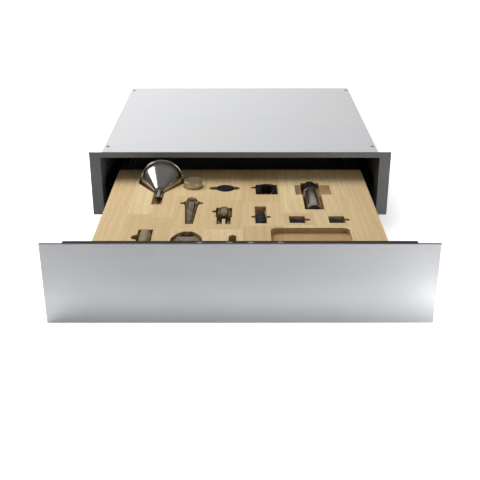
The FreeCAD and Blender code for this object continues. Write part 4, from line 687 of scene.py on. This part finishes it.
turned("round_stopper_cap", "round_stopper", "satin_steel",
       [(0, 0), (17.2, 0), (18, 0.8), (18, 3.6), (17.3, 4.2), (17.3, 5.2), (18, 5.8), (18, 16.2, 1.4), (16.2, 18, 1.4),
        (14.6, 18), (13.8, 17.4), (0, 17.4)], (*ROUND_PLACE, 76.6), "Z")
ribbed = [(0, 0), (6.8, 0, 1.5), (8.2, 3.5)]
for rib in range(4):
    ribbed += [(8.2, 4 + 5 * rib), (9.5, 5.4 + 5 * rib, 0.6), (9.5, 6.6 + 5 * rib, 0.6), (8.2, 8 + 5 * rib)]
turned("round_stopper_plug", "round_stopper", "black_rubber", ribbed + [(9.2, 26), (0, 26)], (*ROUND_PLACE, 50.6), "Z")

crown = [(15.7 * math.cos(a), 6.5 + 4.0 * math.sin(a), 0) for a in quarter()]
turned("ring_stopper_body", "ring_stopper", "gloss_black",
       [(0, -22), (8.6, -22, 1.5), (10, -19), (10, -12), (9.2, -11), (10, -10), (10, 0), (15.7, 0)]
       + crown + [(0, 10.5)], (*RING_PLACE, 75), "Z")
turned("ring_stopper_band", "ring_stopper", "bright_steel",
       [(15.75, 0.2), (17.3, 0.2), (17.3, 6.5, 0.7), (15.75, 6.5)], (*RING_PLACE, 75), "Z")

turned("pump_seal", "wine_pump", "black_rubber", [(0, 0), (10, 0, 1.2), (13.7, 3, 1.2), (13.7, 4), (0, 4)],
       (PUMP_X, at(263), PUMP_Z))
turned("pump_barrel", "wine_pump", "satin_steel",
       [(0, 0), (14.5, 0), (14.5, 5), (14.0, 5.6), (14.0, 6.6), (14.5, 7.2), (14.5, 84), (14.0, 84.6), (14.0, 85.6),
        (14.5, 86.2), (14.5, 92), (0, 92)], (PUMP_X, at(267), PUMP_Z), cut=0.3, finish="pump_steel")
turned("pump_handle", "wine_pump", "black_plastic",
       [(0, 0), (13.7, 0), (13.7, 11.3, 1), (12.2, 12.8, 1), (12.2, 19.2, 1), (13.7, 20.7, 1), (13.7, 29.5, 2.4),
        (11.2, 32, 2.4), (0, 32)], (PUMP_X, at(359), PUMP_Z))

turned("cone_stopper", "cone_stopper", "bright_steel",
       [(0, 0), (5, 0, 1.4), (6.1, 19), (5.7, 20), (6.3, 21), (7.5, 45), (7.1, 46), (7.7, 47), (10, 86, 0.6),
        (10.2, 87), (12.2, 87.4), (12.2, 98.6, 1.8), (9.6, 101, 1.8), (0, 101)],
       (CONE_X, at(197), 80), finish="smoked_steel")
turned("pourer_plug", "pourer", "black_rubber",
       [(0, 0), (5.5, 0, 0.8), (6.5, 1.2), (7.5, 14.4), (8.5, 15, 0.8), (8.5, 17, 0.8), (7.5, 17.8), (7.5, 29.4),
        (8.5, 30, 0.8), (8.5, 32, 0.8), (7.8, 33), (8.5, 44, 0.9), (7.5, 45), (0, 45)], (POURER_X, at(200), 78))
for x, name in SHORT_STOPPERS:
    turned(name, name, "black_rubber",
           [(0, 0), (12, 0, 1), (13, 1, 1), (13, 6.4, 0.8), (11.4, 7.2), (10.9, 12), (11.5, 12.8), (10.8, 13.6),
            (10.6, 18), (11.2, 18.8), (10.5, 19.6), (10.3, 23.2, 1), (9.5, 24), (0, 24)], (x - 12, SHORT_Y, 71), "X")

nose = [(9 * math.cos(a), 95 + 9 * math.sin(a), 0) for a in quarter()]
turned("thermometer_case", "thermometer", "satin_steel",
       [(0, 0), (9, 0), (9, 88), (8.6, 88.5), (8.6, 89.3), (9, 89.8)] + nose + [(0, 104)],
       (THERMOMETER_X, at(64), 79), cut=0.3)
turned("thermometer_collar", "thermometer", "gloss_black",
       [(0, 0), (8, 0, 0.8), (9, 1, 0.8), (9, 11), (8.6, 11.5), (8.6, 12.5), (9, 13), (9, 14), (0, 14)],
       (THERMOMETER_X, at(50), 79))
print("turned pieces", len(made_pieces))

# %% [markdown]
# The sparkling-wine stopper has a turned cap and two flat arms with hooks that clamp under a bottle's lip.
# The foil cutter is a moulded horseshoe whose four steel wheels reach into its gap. Flat pieces are
# raised from their outlines, and their rims are rounded as stamping or moulding leaves them.

# %% Clamp stopper and foil cutter
CLAMP_X, ARM_OFFSET = -28.5, 7.5
CUTTER_X, CUTTER_NEAR, CUTTER_BOW = 50.5, at(338), at(365)

turned("arm_stopper_cap", "arm_stopper", "bright_steel",
       [(0, 0), (12.5, 0), (12.5, 24, 0.8), (11.5, 25.2, 0.6), (11.5, 30, 0), (11.1, 33, 0), (10, 36, 0), (8, 38.2, 0),
        (4.4, 39.7, 0), (0, 40)], (CLAMP_X, at(227), 77), finish="smoked_steel")
turned("arm_stopper_seal", "arm_stopper", "black_rubber", [(0, 0), (3.4, 0, 0.6), (4, 0.8, 0.6), (4, 7), (0, 7)],
       (CLAMP_X, at(220), 77))
hook = [(2.75, 0), (-3.75, 0), (-3.75, 4), (-2.75, 5), (-2.75, 31), (2.75, 31)]
arms = bmesh.new()
for side in (-1, 1):
    prism(arms, [(CLAMP_X + side * ARM_OFFSET + side * u, at(196) + v) for u, v in hook], (75, 79), 0.7)
piece("arm_stopper_arms", arms, "arm_stopper", "bright_steel", finish="smoked_steel")


def half_round(radius, steps=28):
    """Points about the bow's middle, from its right end to its left."""
    return [(CUTTER_X + radius * math.cos(a), CUTTER_BOW + radius * math.sin(a))
            for a in (math.pi * k / steps for k in range(steps + 1))]


horseshoe = ([(CUTTER_X - 19, CUTTER_NEAR), (CUTTER_X - 10, CUTTER_NEAR)] + half_round(10)[::-1]
             + [(CUTTER_X + 10, CUTTER_NEAR), (CUTTER_X + 19, CUTTER_NEAR)] + half_round(19))
cutter = prism(bmesh.new(), horseshoe, (68.5, 84.5), 1.2, 4)
piece("foil_cutter_body", cutter, "foil_cutter", "black_plastic")
wheel = [(0, 0), (1.6, 0), (4.2, 0.1), (5, 0.6), (4.2, 1.1), (1.6, 1.2), (0, 1.2)]
wheels = bmesh.new()
for side in (-1, 1):
    for share in (0.16, 0.42):
        lathe(wheels, wheel, (CUTTER_X + side * 12.5, CUTTER_NEAR + 46 * share, 75.9), "Z", 48)
piece("foil_cutter_wheels", to_mesh(wheels, "foil_cutter_wheels", 20), "foil_cutter", "bright_steel")
print("clamp stopper and foil cutter made")

# %% [markdown]
# A two-lever corkscrew lies on its back. Its bell is turned, the levers are flat with teeth at their round ends,
# and the spindle has rings that the teeth climb. The worm is wire wound to a point, and the latch's spring
# is the same form without one, so one node tree winds both from turns, radius, length and wire.

# %% Corkscrew, worm and spring
CORK_X, CORK_Z, HEAD_Y = -89.0, 76.0, at(135)
SPINDLE_NEAR, SPINDLE_FAR = at(99.3), at(151)
LEVER_Z = (73.5, 78.5)
GEAR_TEETH, TIP_RADIUS, ROOT_RADIUS, PITCH_RADIUS = 20, 11.2, 9.9, 10.55

bell = [(14.2, 0, 0.6), (15.5, 1.2, 0.8), (15.5, 4), (15, 4.6), (15, 5.6), (15.5, 6.2), (15.5, 20, 3), (12.5, 24, 2),
        (5.4, 24), (5.4, 22.2), (11.5, 22.2, 2), (13.7, 19, 2), (13.7, 1.2)]
body = lathe(bmesh.new(), soften(bell), (CORK_X, at(48), CORK_Z))
for side in (-1, 1):
    slab(body, (CORK_X + side * 8, CORK_X + side * 11.5), (at(68), HEAD_Y - 4), (71, 81), 0.9)
for heights in ((71, 73.1), (78.9, 81)):
    prism(body, round_corners((CORK_X - 16.8, CORK_X + 16.8), (HEAD_Y - 10, HEAD_Y + 10), 4.5), heights, 0.5)
for y_range in ((HEAD_Y - 9.5, HEAD_Y - 7.6), (HEAD_Y + 7.6, HEAD_Y + 9.5)):
    for side in (-1, 1):
        slab(body, (CORK_X + side * 3.4, CORK_X + side * 8), y_range, (73, 79), 0.3)
piece("corkscrew_frame", body, "corkscrew", "bright_steel", finish="smoked_steel")

levers = bmesh.new()
tooth = 2 * math.pi / GEAR_TEETH
for side in (-1, 1):
    gear_x, arm_x = CORK_X + side * 13.3, CORK_X + side * 20.5
    outline = []
    for k in range(GEAR_TEETH):
        flanks = ((0, TIP_RADIUS),)
        if min(k, GEAR_TEETH - k) < 5:
            flanks = ((-0.3, ROOT_RADIUS), (-0.13, TIP_RADIUS), (0.13, TIP_RADIUS), (0.3, ROOT_RADIUS))
        outline += [(gear_x - side * radius * math.cos(tooth * (k + share)),
                     HEAD_Y + radius * math.sin(tooth * (k + share))) for share, radius in flanks]
    prism(levers, outline, LEVER_Z, 0.25, 2)
    blade = [(arm_x + 4 * math.cos(a), HEAD_Y - 76 + 4 * math.sin(a))
             for a in (math.pi * (1 + k / 12) for k in range(13))]
    blade += [(arm_x + 3.2, HEAD_Y - 40), (arm_x + 4, HEAD_Y), (arm_x - 4, HEAD_Y), (arm_x - 3.2, HEAD_Y - 40)]
    prism(levers, blade, LEVER_Z, 1.1, 4)
    lathe(levers, soften([(0, 0), (1.9, 0), (1.9, 10.4, 0.6), (0, 10.8)], 0.3), (gear_x, HEAD_Y, 70.9), "Z", 32)
piece("corkscrew_levers", levers, "corkscrew", "bright_steel", finish="smoked_steel")

pitch = 2 * math.pi * PITCH_RADIUS / GEAR_TEETH
spindle = [(0, 0), (2.8, 0, 0.3)]
for k in range(-6, 4):
    middle = HEAD_Y - SPINDLE_NEAR + pitch * k
    spindle += [(2.8, middle - 1.0, 0.2), (1.9, middle - 0.6, 0.2), (1.9, middle + 0.6, 0.2), (2.8, middle + 1.0, 0.2)]
spindle += [(2.8, SPINDLE_FAR - SPINDLE_NEAR), (0, SPINDLE_FAR - SPINDLE_NEAR)]
turned("corkscrew_spindle", "corkscrew", "bright_steel", spindle, (CORK_X, SPINDLE_NEAR, CORK_Z))
turned("corkscrew_knob", "corkscrew", "gloss_black", [(0, 0), (5, 0), (5, 9, 2), (3, 11, 2), (0, 11)],
       (CORK_X, SPINDLE_FAR, CORK_Z))


def tree_with(name, inputs):
    """A geometry node tree with named inputs: the tree, its inputs, a helper that adds nodes and one that ends it."""
    tree = bpy.data.node_groups.new(name, "GeometryNodeTree")
    tree.interface.new_socket("Geometry", in_out="INPUT", socket_type="NodeSocketGeometry")
    for label, kind, default in inputs:
        socket = tree.interface.new_socket(label, in_out="INPUT", socket_type="NodeSocket" + kind)
        if default is not None:
            socket.default_value = default
    tree.interface.new_socket("Geometry", in_out="OUTPUT", socket_type="NodeSocketGeometry")
    given = tree.nodes.new("NodeGroupInput")

    def add(kind, values=None, **settings):
        return fill(tree, tree.nodes.new(kind), values, settings)

    def close(geometry):
        real = add("GeometryNodeRealizeInstances", {"Geometry": geometry})
        painted = add("GeometryNodeSetMaterial", {"Geometry": real[0], "Material": given.outputs["Material"]})
        fill(tree, tree.nodes.new("NodeGroupOutput"), {0: painted[0]})

    return tree, given.outputs, add, close


def frozen(carrier, modifier, name, angle=38.0):
    """The plain mesh that a modifier makes of an object. The modifier and the object go away."""
    bpy.context.view_layer.update()
    solved = carrier.evaluated_get(bpy.context.evaluated_depsgraph_get())
    mesh = bpy.data.meshes.new_from_object(solved)
    carrier.modifiers.remove(modifier)
    bpy.data.objects.remove(carrier)
    mesh.name = name
    return smooth(mesh, angle)


def grown(name, tree, base, values, angle=38.0):
    """Runs a tree once on a base mesh, with its inputs set by identifier."""
    carrier = link(name + "_carrier", base)
    modifier = carrier.modifiers.new("grow", "NODES")
    modifier.node_group = tree
    for item in tree.interface.items_tree:
        if item.item_type == "SOCKET" and item.in_out == "INPUT" and item.name in values:
            modifier[item.identifier] = values[item.name]
    return frozen(carrier, modifier, name, angle)


def winding_tree():
    """Wire wound about Y: a spiral with a round section, thinned to a point over its first part."""
    tree, given, add, close = tree_with("wound_wire", [
        ("Turns", "Float", 4.0), ("Radius", "Float", 0.003), ("Length", "Float", 0.03), ("Wire", "Float", 0.001),
        ("Point Share", "Float", 0.0), ("Place", "Vector", None), ("Material", "Material", None)])
    spiral = add("GeometryNodeCurveSpiral", {
        "Resolution": 48, "Rotations": given["Turns"], "Start Radius": given["Radius"],
        "End Radius": given["Radius"], "Height": given["Length"]})
    turn = add("GeometryNodeTransform", {"Geometry": spiral[0], "Translation": given["Place"],
                                         "Rotation": (-math.pi / 2, 0, 0)})
    along = add("GeometryNodeSplineParameter")
    taper = span(tree, along["Factor"], 0.12, 1.0, 0.0, given["Point Share"])
    thick = add("GeometryNodeSetCurveRadius", {"Curve": turn[0], "Radius": taper})
    section = add("GeometryNodeCurvePrimitiveCircle", {"Resolution": 20, "Radius": given["Wire"]})
    sweep = add("GeometryNodeCurveToMesh", {"Curve": thick[0], "Profile Curve": section[0], "Fill Caps": True,
                                            "Scale": taper})
    close(sweep[0])
    return tree


WOUND = winding_tree()
for node, owner, slot, turns, radius, length, wire, point, place in (
        ("corkscrew_worm", "corkscrew", "bright_steel", 4.0, 3.2, 36, 1.2, 0.25, (CORK_X, at(62.4), CORK_Z)),
        ("latch_spring", "carcass", "spring_steel", 9.0, 3.2, 18.2, 0.38, 0.001, (0, 249.55, 32))):
    wound = grown(node, WOUND, bpy.data.meshes.new("seed"), {
        "Turns": turns, "Radius": radius * MM, "Length": length * MM, "Wire": wire * MM, "Point Share": point,
        "Place": Vector(place) * MM, "Material": finishes[slot]})
    piece(node, wound, owner, slot)
    print(node, "vertices", len(wound.vertices))

# %% [markdown]
# Twenty-six screws hold the drawer together. Each kind has one head with a cross recess, drawn as a polar grid
# whose middle dips in four arms. A node tree sets it on its places, turned to the sheet and by a chance
# angle, as driven screws end. Copying by hand would work too, but a change of head would mean redoing all.

# %% Screws
HEAD_SIDES, HEAD_STEPS, SHANK_RADIUS = 48, 14, 2.0
ARM_HALF, ARM_REACH = 0.13, 0.62
RECESS_DEPTH, RECESS_STEEPNESS = 0.55, 2.2
DOME_DEPTH, DOME_POWER = 0.35, 2.2
RUNNER_Z = 26.5


def screw_head(radius, height, shank, flush=False):
    """A screw along Z with its head's underside at zero. A flush head lies below zero, flat on top."""
    turns = [2 * math.pi * k / HEAD_SIDES for k in range(HEAD_SIDES)]

    def face_height(share, angle):
        offset = abs(share * math.sin(2 * angle) / 2)
        arm = max(0.0, 1 - offset / ARM_HALF) * max(0.0, 1 - share / ARM_REACH)
        dome = 0.0 if flush else DOME_DEPTH * height * share ** DOME_POWER
        return (0.0 if flush else height) - dome - min(1.0, RECESS_STEEPNESS * arm) * RECESS_DEPTH * height

    rings = [[(share * radius, face_height(share, angle)) for angle in turns]
             for share in (j / HEAD_STEPS for j in range(1, HEAD_STEPS + 1))]
    rim = [(radius, -0.15), (SHANK_RADIUS, -1.2)] if flush else [
        (radius, 0.12 * height), (radius * 0.97, 0.0), (SHANK_RADIUS, 0.0)]
    rings += [[pair] * HEAD_SIDES for pair in rim + [(SHANK_RADIUS, -shank)]]
    form = bmesh.new()
    verts = [[form.verts.new(Vector((r * math.cos(a), r * math.sin(a), z)) * MM) for a, (r, z) in zip(turns, ring)]
             for ring in rings]
    centre = form.verts.new(Vector((0, 0, face_height(0.0, 0.0))) * MM)
    for k in range(HEAD_SIDES):
        after = (k + 1) % HEAD_SIDES
        form.faces.new((centre, verts[0][k], verts[0][after]))
        for low, high in zip(verts, verts[1:]):
            form.faces.new((low[k], high[k], high[after], low[after]))
    form.faces.new(verts[-1])
    return to_mesh(form, "screw_head", 50)


def placing_tree():
    """Sets one object on every point, turned along the point's axis and by a chance angle about it."""
    tree, given, add, close = tree_with("placed_screws", [
        ("Screw", "Object", None), ("Size", "Float", 1.0), ("Seed", "Int", 3), ("Material", "Material", None)])
    points = add("GeometryNodeMeshToPoints", {"Mesh": given["Geometry"]})
    axis = add("GeometryNodeInputNamedAttribute", {"Name": "axis"}, data_type="FLOAT_VECTOR")
    aimed = add("FunctionNodeAlignRotationToVector", {"Vector": axis["Attribute"]}, axis="Z")
    chance = add("FunctionNodeRandomValue", {"Seed": given["Seed"], 3: 2 * math.pi}, data_type="FLOAT")
    spin = add("FunctionNodeAxisAngleToRotation", {"Axis": (0, 0, 1), "Angle": chance[1]})
    both = add("FunctionNodeRotateRotation", {"Rotation": aimed[0], "Rotate By": spin[0]},
               rotation_space="LOCAL")
    shape = add("GeometryNodeObjectInfo", {"Object": given["Screw"]})
    sized = put(tree, "CombineXYZ", {"X": given["Size"], "Y": given["Size"], "Z": given["Size"]})
    placed = add("GeometryNodeInstanceOnPoints", {"Points": points[0], "Instance": shape["Geometry"],
                                                  "Rotation": both[0], "Scale": sized[0]})
    close(placed[0])
    return tree


PLACED = placing_tree()


def screw_set(node, body, places, head, seed):
    """Screws of one kind at places (x, y, z, the way that their heads face)."""
    base = bpy.data.meshes.new("places")
    base.from_pydata([Vector(place[:3]) * MM for place in places], [], [])
    axes = base.attributes.new("axis", "FLOAT_VECTOR", "POINT")
    for k, (_, _, _, facing) in enumerate(places):
        axes.data[k].vector = Vector(DIRECTIONS[facing[-1]][0]) * (-1 if facing[0] == "-" else 1)
    master = link("screw_master", screw_head(*head))
    mesh = grown(node, PLACED, base, {"Screw": master, "Seed": seed, "Material": finishes["screw_steel"]}, 50)
    bpy.data.objects.remove(master)
    piece(node, mesh, body, "screw_steel")
    return len(places)


def both_sides(x, rows, facing="ZZ"):
    """The same (y, z) rows on the left and the right, each side with its own facing."""
    return [(side * x, y, z, way) for side, way in zip((-1, 1), facing) for y, z in rows]


LOW_HEAD, PANEL_HEAD, FLUSH_HEAD = (3.6, 1.8, 5.0), (4.0, 0.9, 5.0), (3.5, 1.2, 4.9, True)
count = 0
for seed, (node, body, head, places) in enumerate((
        ("panel_screws", "drawer", PANEL_HEAD, [(x, at(29.5), 122.5, "Z") for x in (-61.5, -16.5, 16.5, 61.5)]),
        ("carcass_screws", "carcass", LOW_HEAD, both_sides(267.6, [(-208.5, 125), (244.5, 125)])
         + both_sides(267.6, [(272.5, 25), (272.5, 100)], "YY")),
        ("tray_screws", "drawer", LOW_HEAD, [(side * x, at(39.5), 32, "Y") for side in (-1, 1) for x in (73, 194.5)]),
        ("latch_screws", "carcass", LOW_HEAD, both_sides(22.5, [(237.5, 5.2)])),
        ("runner_screws_inner", "drawer", LOW_HEAD,
         both_sides(244.2, [(-604.4, RUNNER_Z), (-277.6, RUNNER_Z)], ("-X", "X"))),
        ("runner_screws_outer", "carcass", FLUSH_HEAD,
         both_sides(254.5, [(-187.4, RUNNER_Z), (139.4, RUNNER_Z)], ("X", "-X")))), start=1):
    count += screw_set(node, body, places, head, seed)
print("screws", count)

# %% [markdown]
# The board starts as one step-sided slab and is milled from above with round and flat cutters, one for each
# pocket. Cutting exact solids away gives true round troughs and crisp rims, while painting pockets with
# displacement would need far more triangles. Faces made by a cutter are marked, so the finish can darken and
# brown them, partly for the cut wood's own tone and partly as painted shade in the pockets.

# %% Oak board and its pockets
BOARD_TOP, LIP_BOTTOM, BOARD_BOTTOM = 82.0, 56.5, 32
LIP_HALF, CORE_HALF = 244.5, 241.5
BOARD_NEAR, BOARD_FAR = at(43), at(472.5)
RIM_ROUND, RIM_MARGIN = 1, 1.1
ABOVE = BOARD_TOP + 6


def trough_cut(x, y_range, middle, radius):
    """A round-bottomed trough along Y, open above its middle."""
    return [lathe(bmesh.new(), rod(radius, y_range[1] - y_range[0]), (x, y_range[0], middle)),
            slab(bmesh.new(), (x - radius, x + radius), y_range, (middle, ABOVE))]


def well_cut(x, y, z_range, radius):
    return [lathe(bmesh.new(), rod(radius, z_range[1] - z_range[0]), (x, y, z_range[0]), "Z")]


def box_cut(x_range, y_range, floor, corner):
    return [prism(bmesh.new(), round_corners(x_range, y_range, corner), (floor, ABOVE))]


def notch_cut(x_range, middle, width=9, depth=8):
    """A finger notch with round ends across a pocket."""
    return box_cut(x_range, (middle - width / 2, middle + width / 2), BOARD_TOP - depth, width / 2 - 0.01)


# Funnel, round stopper, ring stopper and foil cutter
cuts = [lathe(bmesh.new(), [(0, 0), (9.5, 0), (44.4, 52.09), (44.4, 79.08), (0, 79.08)],
              (FUNNEL_X, at(341.92), 83.7), sides=160)]
cuts += trough_cut(FUNNEL_X, (at(284.4), at(347.4)), 82.7, 9.5)
cuts += well_cut(*ROUND_PLACE, (76.3, ABOVE), 18.9) + well_cut(*ROUND_PLACE, (48.8, 78), 11.3)
cuts += well_cut(*RING_PLACE, (74.7, ABOVE), 18.2) + well_cut(*RING_PLACE, (51.2, 76), 11.8)
cuts += notch_cut((-59, 0), at(367), 16, 9)
cuts += box_cut((29.7, 71.3), (at(334.4), at(385.8)), 68.2, 3) + notch_cut((20.7, 38.7), at(370))

# Pump, with a wide scoop for the hand
cuts += trough_cut(PUMP_X, (at(261.2), at(394)), 77.2, 17.5)
cuts.append(lathe(bmesh.new(), rod(32, 67), (105, at(359), 102), "X", 160))

# Cone, clamp stopper with its arms, pourer and the two short stoppers
cuts.append(lathe(bmesh.new(), [(0, -1.8), (6.8, -1.8), (11.8, 85.2), (14, 85.2), (14, 102.8), (0, 102.8)],
                  (CONE_X, at(197), 81.5)))
cuts += notch_cut((-109.2, -66.8), at(291))
cuts += trough_cut(CLAMP_X, (at(225.2), at(268.8)), 78.5, 14.3)
cuts += trough_cut(CLAMP_X, (at(218.2), at(228.8)), 77.6, 4.9)
for x in (CLAMP_X - ARM_OFFSET, CLAMP_X + ARM_OFFSET):
    cuts += box_cut((x - 4.65, x + 4.65), (at(194.2), at(228.8)), 74.7, 0.9)
cuts += notch_cut((-50, -28.5), at(251.8))
cuts += trough_cut(POURER_X, (at(198.2), at(275)), 79.5, 10.3) + notch_cut((19.3, 54.3), at(227))
for x, _ in SHORT_STOPPERS:
    cuts.append(lathe(bmesh.new(), rod(14.8, 27.6), (x - 13.8, SHORT_Y, 72.5), "X"))
    cuts.append(slab(bmesh.new(), (x - 13.8, x + 13.8), (at(200.2), at(229.8)), (72.5, ABOVE)))
    cuts += notch_cut((x, x + 22.8), SHORT_Y)

# Thermometer, corkscrew with room for its levers, wide recess and narrow slot
cuts += trough_cut(THERMOMETER_X, (at(48.2), at(171.5)), 82.2, 12.5) + well_cut(-172, at(140.5), (72, ABOVE), 9.5)
fan_start, fan_middle, fan_end = (26.3, HEAD_Y), (18.5, at(152.3)), (6.8, at(163.8))
pull = [2 * m - (a + b) / 2 for a, m, b in zip(fan_start, fan_middle, fan_end)]
half_fan = [(26.3, at(53.2))] + bend(fan_start, pull, fan_end, 24)
fan = [(CORK_X + u, y) for u, y in half_fan] + [(CORK_X - u, y) for u, y in reversed(half_fan)]
cuts.append(prism(bmesh.new(), fan, (70.7, ABOVE)))
cuts += trough_cut(CORK_X, (at(46.2), at(73.8)), 77.5, 17.3)
cuts += box_cut((52, 186), (at(105), at(179)), 73, 12) + box_cut((-19, -6), (at(98), at(149)), 70, 6.4)

section = [(-CORE_HALF, BOARD_BOTTOM), (CORE_HALF, BOARD_BOTTOM), (CORE_HALF, LIP_BOTTOM), (LIP_HALF, LIP_BOTTOM),
           (LIP_HALF, BOARD_TOP), (-LIP_HALF, BOARD_TOP), (-LIP_HALF, LIP_BOTTOM), (-CORE_HALF, LIP_BOTTOM)]
board = beam(bmesh.new(), section, (BOARD_NEAR, BOARD_FAR))
rim = [edge for edge in board.edges if all(abs(v.co.z - BOARD_TOP * MM) < 1e-6 for v in edge.verts)]
round_edges(board, rim, RIM_ROUND, 4)
carrier = link("oak_slab", to_mesh(board, "oak_slab"))
cutters = bpy.data.collections.new("cutters")
bpy.context.scene.collection.children.link(cutters)
for form in cuts:
    cutters.objects.link(bpy.data.objects.new("cutter", to_mesh(form, "cutter")))
milling = carrier.modifiers.new("milling", "BOOLEAN")
milling.operation, milling.operand_type, milling.solver = "DIFFERENCE", "COLLECTION", "EXACT"
milling.collection = cutters
milled_board = frozen(carrier, milling, "oak_board")
for cutter in list(cutters.objects):
    bpy.data.objects.remove(cutter)
bpy.data.collections.remove(cutters)

form = bmesh.new()
form.from_mesh(milled_board)
bmesh.ops.remove_doubles(form, verts=form.verts, dist=0.00001)
# Marks the faces that cutters made; the oak finish darkens them, partly as painted shade in the pockets.
mark = form.faces.layers.float.new("milled")
for face in form.faces:
    x, y, z = face.calc_center_median() / MM
    face[mark] = 0.0 if (abs(x) > CORE_HALF - RIM_MARGIN or y < BOARD_NEAR + RIM_MARGIN or y > BOARD_FAR - RIM_MARGIN
                         or z < BOARD_BOTTOM + 0.1 or (z > BOARD_TOP - 0.01 and face.normal.z > 0.99)) else 1.0
print("board faces", len(form.faces), "open edges", sum(1 for e in form.edges if not e.is_manifold),
      "volume in litres", round(form.calc_volume() * 1000, 3))
form.to_mesh(milled_board)
form.free()
piece("oak_board", smooth(milled_board, 30), "drawer", "oak", "oak_board", "oak_stave_left", "oak_stave_inner",
      "oak_stave_middle", "oak_stave_right")

# %% [markdown]
# Each ball cage is a thin strip whose little arms hold two rows of balls. The strip is flat sheet, and the balls
# repeat at one pitch. So a node tree lays points at that pitch and sets a round ball on each, beside the strip.

# %% Ball cages
BALLS, BALL_PITCH, CAGE_LENGTH, HALF_ARM = 4, 35, 140, 0.4


def cage_tree():
    """Two rows of balls along Y at an even pitch, one above the other, joined to the strip."""
    tree, given, add, close = tree_with("ball_row", [
        ("Count", "Int", 4), ("Pitch", "Float", 0.035), ("Start", "Vector", None), ("Row Gap", "Float", 0.039),
        ("Ball Radius", "Float", 0.002), ("Material", "Material", None)])
    offset = put(tree, "CombineXYZ", {"Y": given["Pitch"]})
    line = add("GeometryNodeMeshLine", {"Count": given["Count"], "Start Location": given["Start"],
                                        "Offset": offset[0]})
    gap = put(tree, "CombineXYZ", {"Z": given["Row Gap"]})
    upper = add("GeometryNodeTransform", {"Geometry": line[0], "Translation": gap[0]})
    rows = add("GeometryNodeJoinGeometry", {0: [line[0], upper[0]]})
    points = add("GeometryNodeMeshToPoints", {"Mesh": rows[0]})
    ball = add("GeometryNodeMeshUVSphere", {"Segments": 32, "Rings": 16, "Radius": given["Ball Radius"]})
    placed = add("GeometryNodeInstanceOnPoints", {"Points": points[0], "Instance": ball["Mesh"]})
    close(add("GeometryNodeJoinGeometry", {0: [placed[0], given["Geometry"]]})[0])
    return tree


BALL_ROW = cage_tree()
# Name, faces of the strip, inner end of its arms, half the gap of the rows, the balls' X and radius, and near end
for name, web, outside, arm_end, row, ball_x, radius, start in (
        ("outer_cage", 253.75, 254.25, 246.55, 19.55, 249.35, 2.0, -233.25),
        ("inner_cage", 251.1, 251.6, 245.95, 14.95, 248.05, 1.5, -441.75)):
    for side, word in ((-1, "left"), (1, "right")):
        shape = [(outside, row + HALF_ARM), (outside, -row - HALF_ARM), (arm_end, -row - HALF_ARM),
                 (arm_end, -row + HALF_ARM), (web, -row + HALF_ARM), (web, row - HALF_ARM),
                 (arm_end, row - HALF_ARM), (arm_end, row + HALF_ARM)]
        strip = beam(bmesh.new(), [(side * x, RUNNER_Z + z) for x, z in shape], (start, start + CAGE_LENGTH))
        round_edges(strip, [e for e in strip.edges if abs(e.verts[0].co.y - e.verts[1].co.y) > 0.1], 0.15, 2)
        node = name + "_" + word
        mesh = grown(node, BALL_ROW, to_mesh(strip, node + "_strip"), {
            "Count": BALLS, "Pitch": BALL_PITCH * MM, "Row Gap": 2 * row * MM, "Ball Radius": radius * MM,
            "Start": Vector((side * ball_x, start + BALL_PITCH / 2, RUNNER_Z - row)) * MM,
            "Material": finishes["bearing_steel"]})
        piece(node, mesh, node, "bearing_steel")
print("pieces made in this lesson", len(made_pieces))

# %% [markdown]
# Folded sheet, runners and brackets keep their packed form, since flat sheet has no curve to smooth. Each takes
# the finish that its record names. The finish goes on the object and not on its mesh, so the mesh stays as
# it was packed. A single grey for all of them would hide which sheet is painted and which is plated.

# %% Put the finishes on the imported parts
slot_of = {part["node"]: part["material_slot"] for part in frame["record"]["subparts"]}
for part, obj in frame["nodes"].items():
    material = finishes[slot_of[part]]
    if not obj.material_slots:
        obj.data.materials.append(material)
    for place in obj.material_slots:
        place.link = "OBJECT"
        place.material = material
print("finished", len(frame["nodes"]), "packed parts")
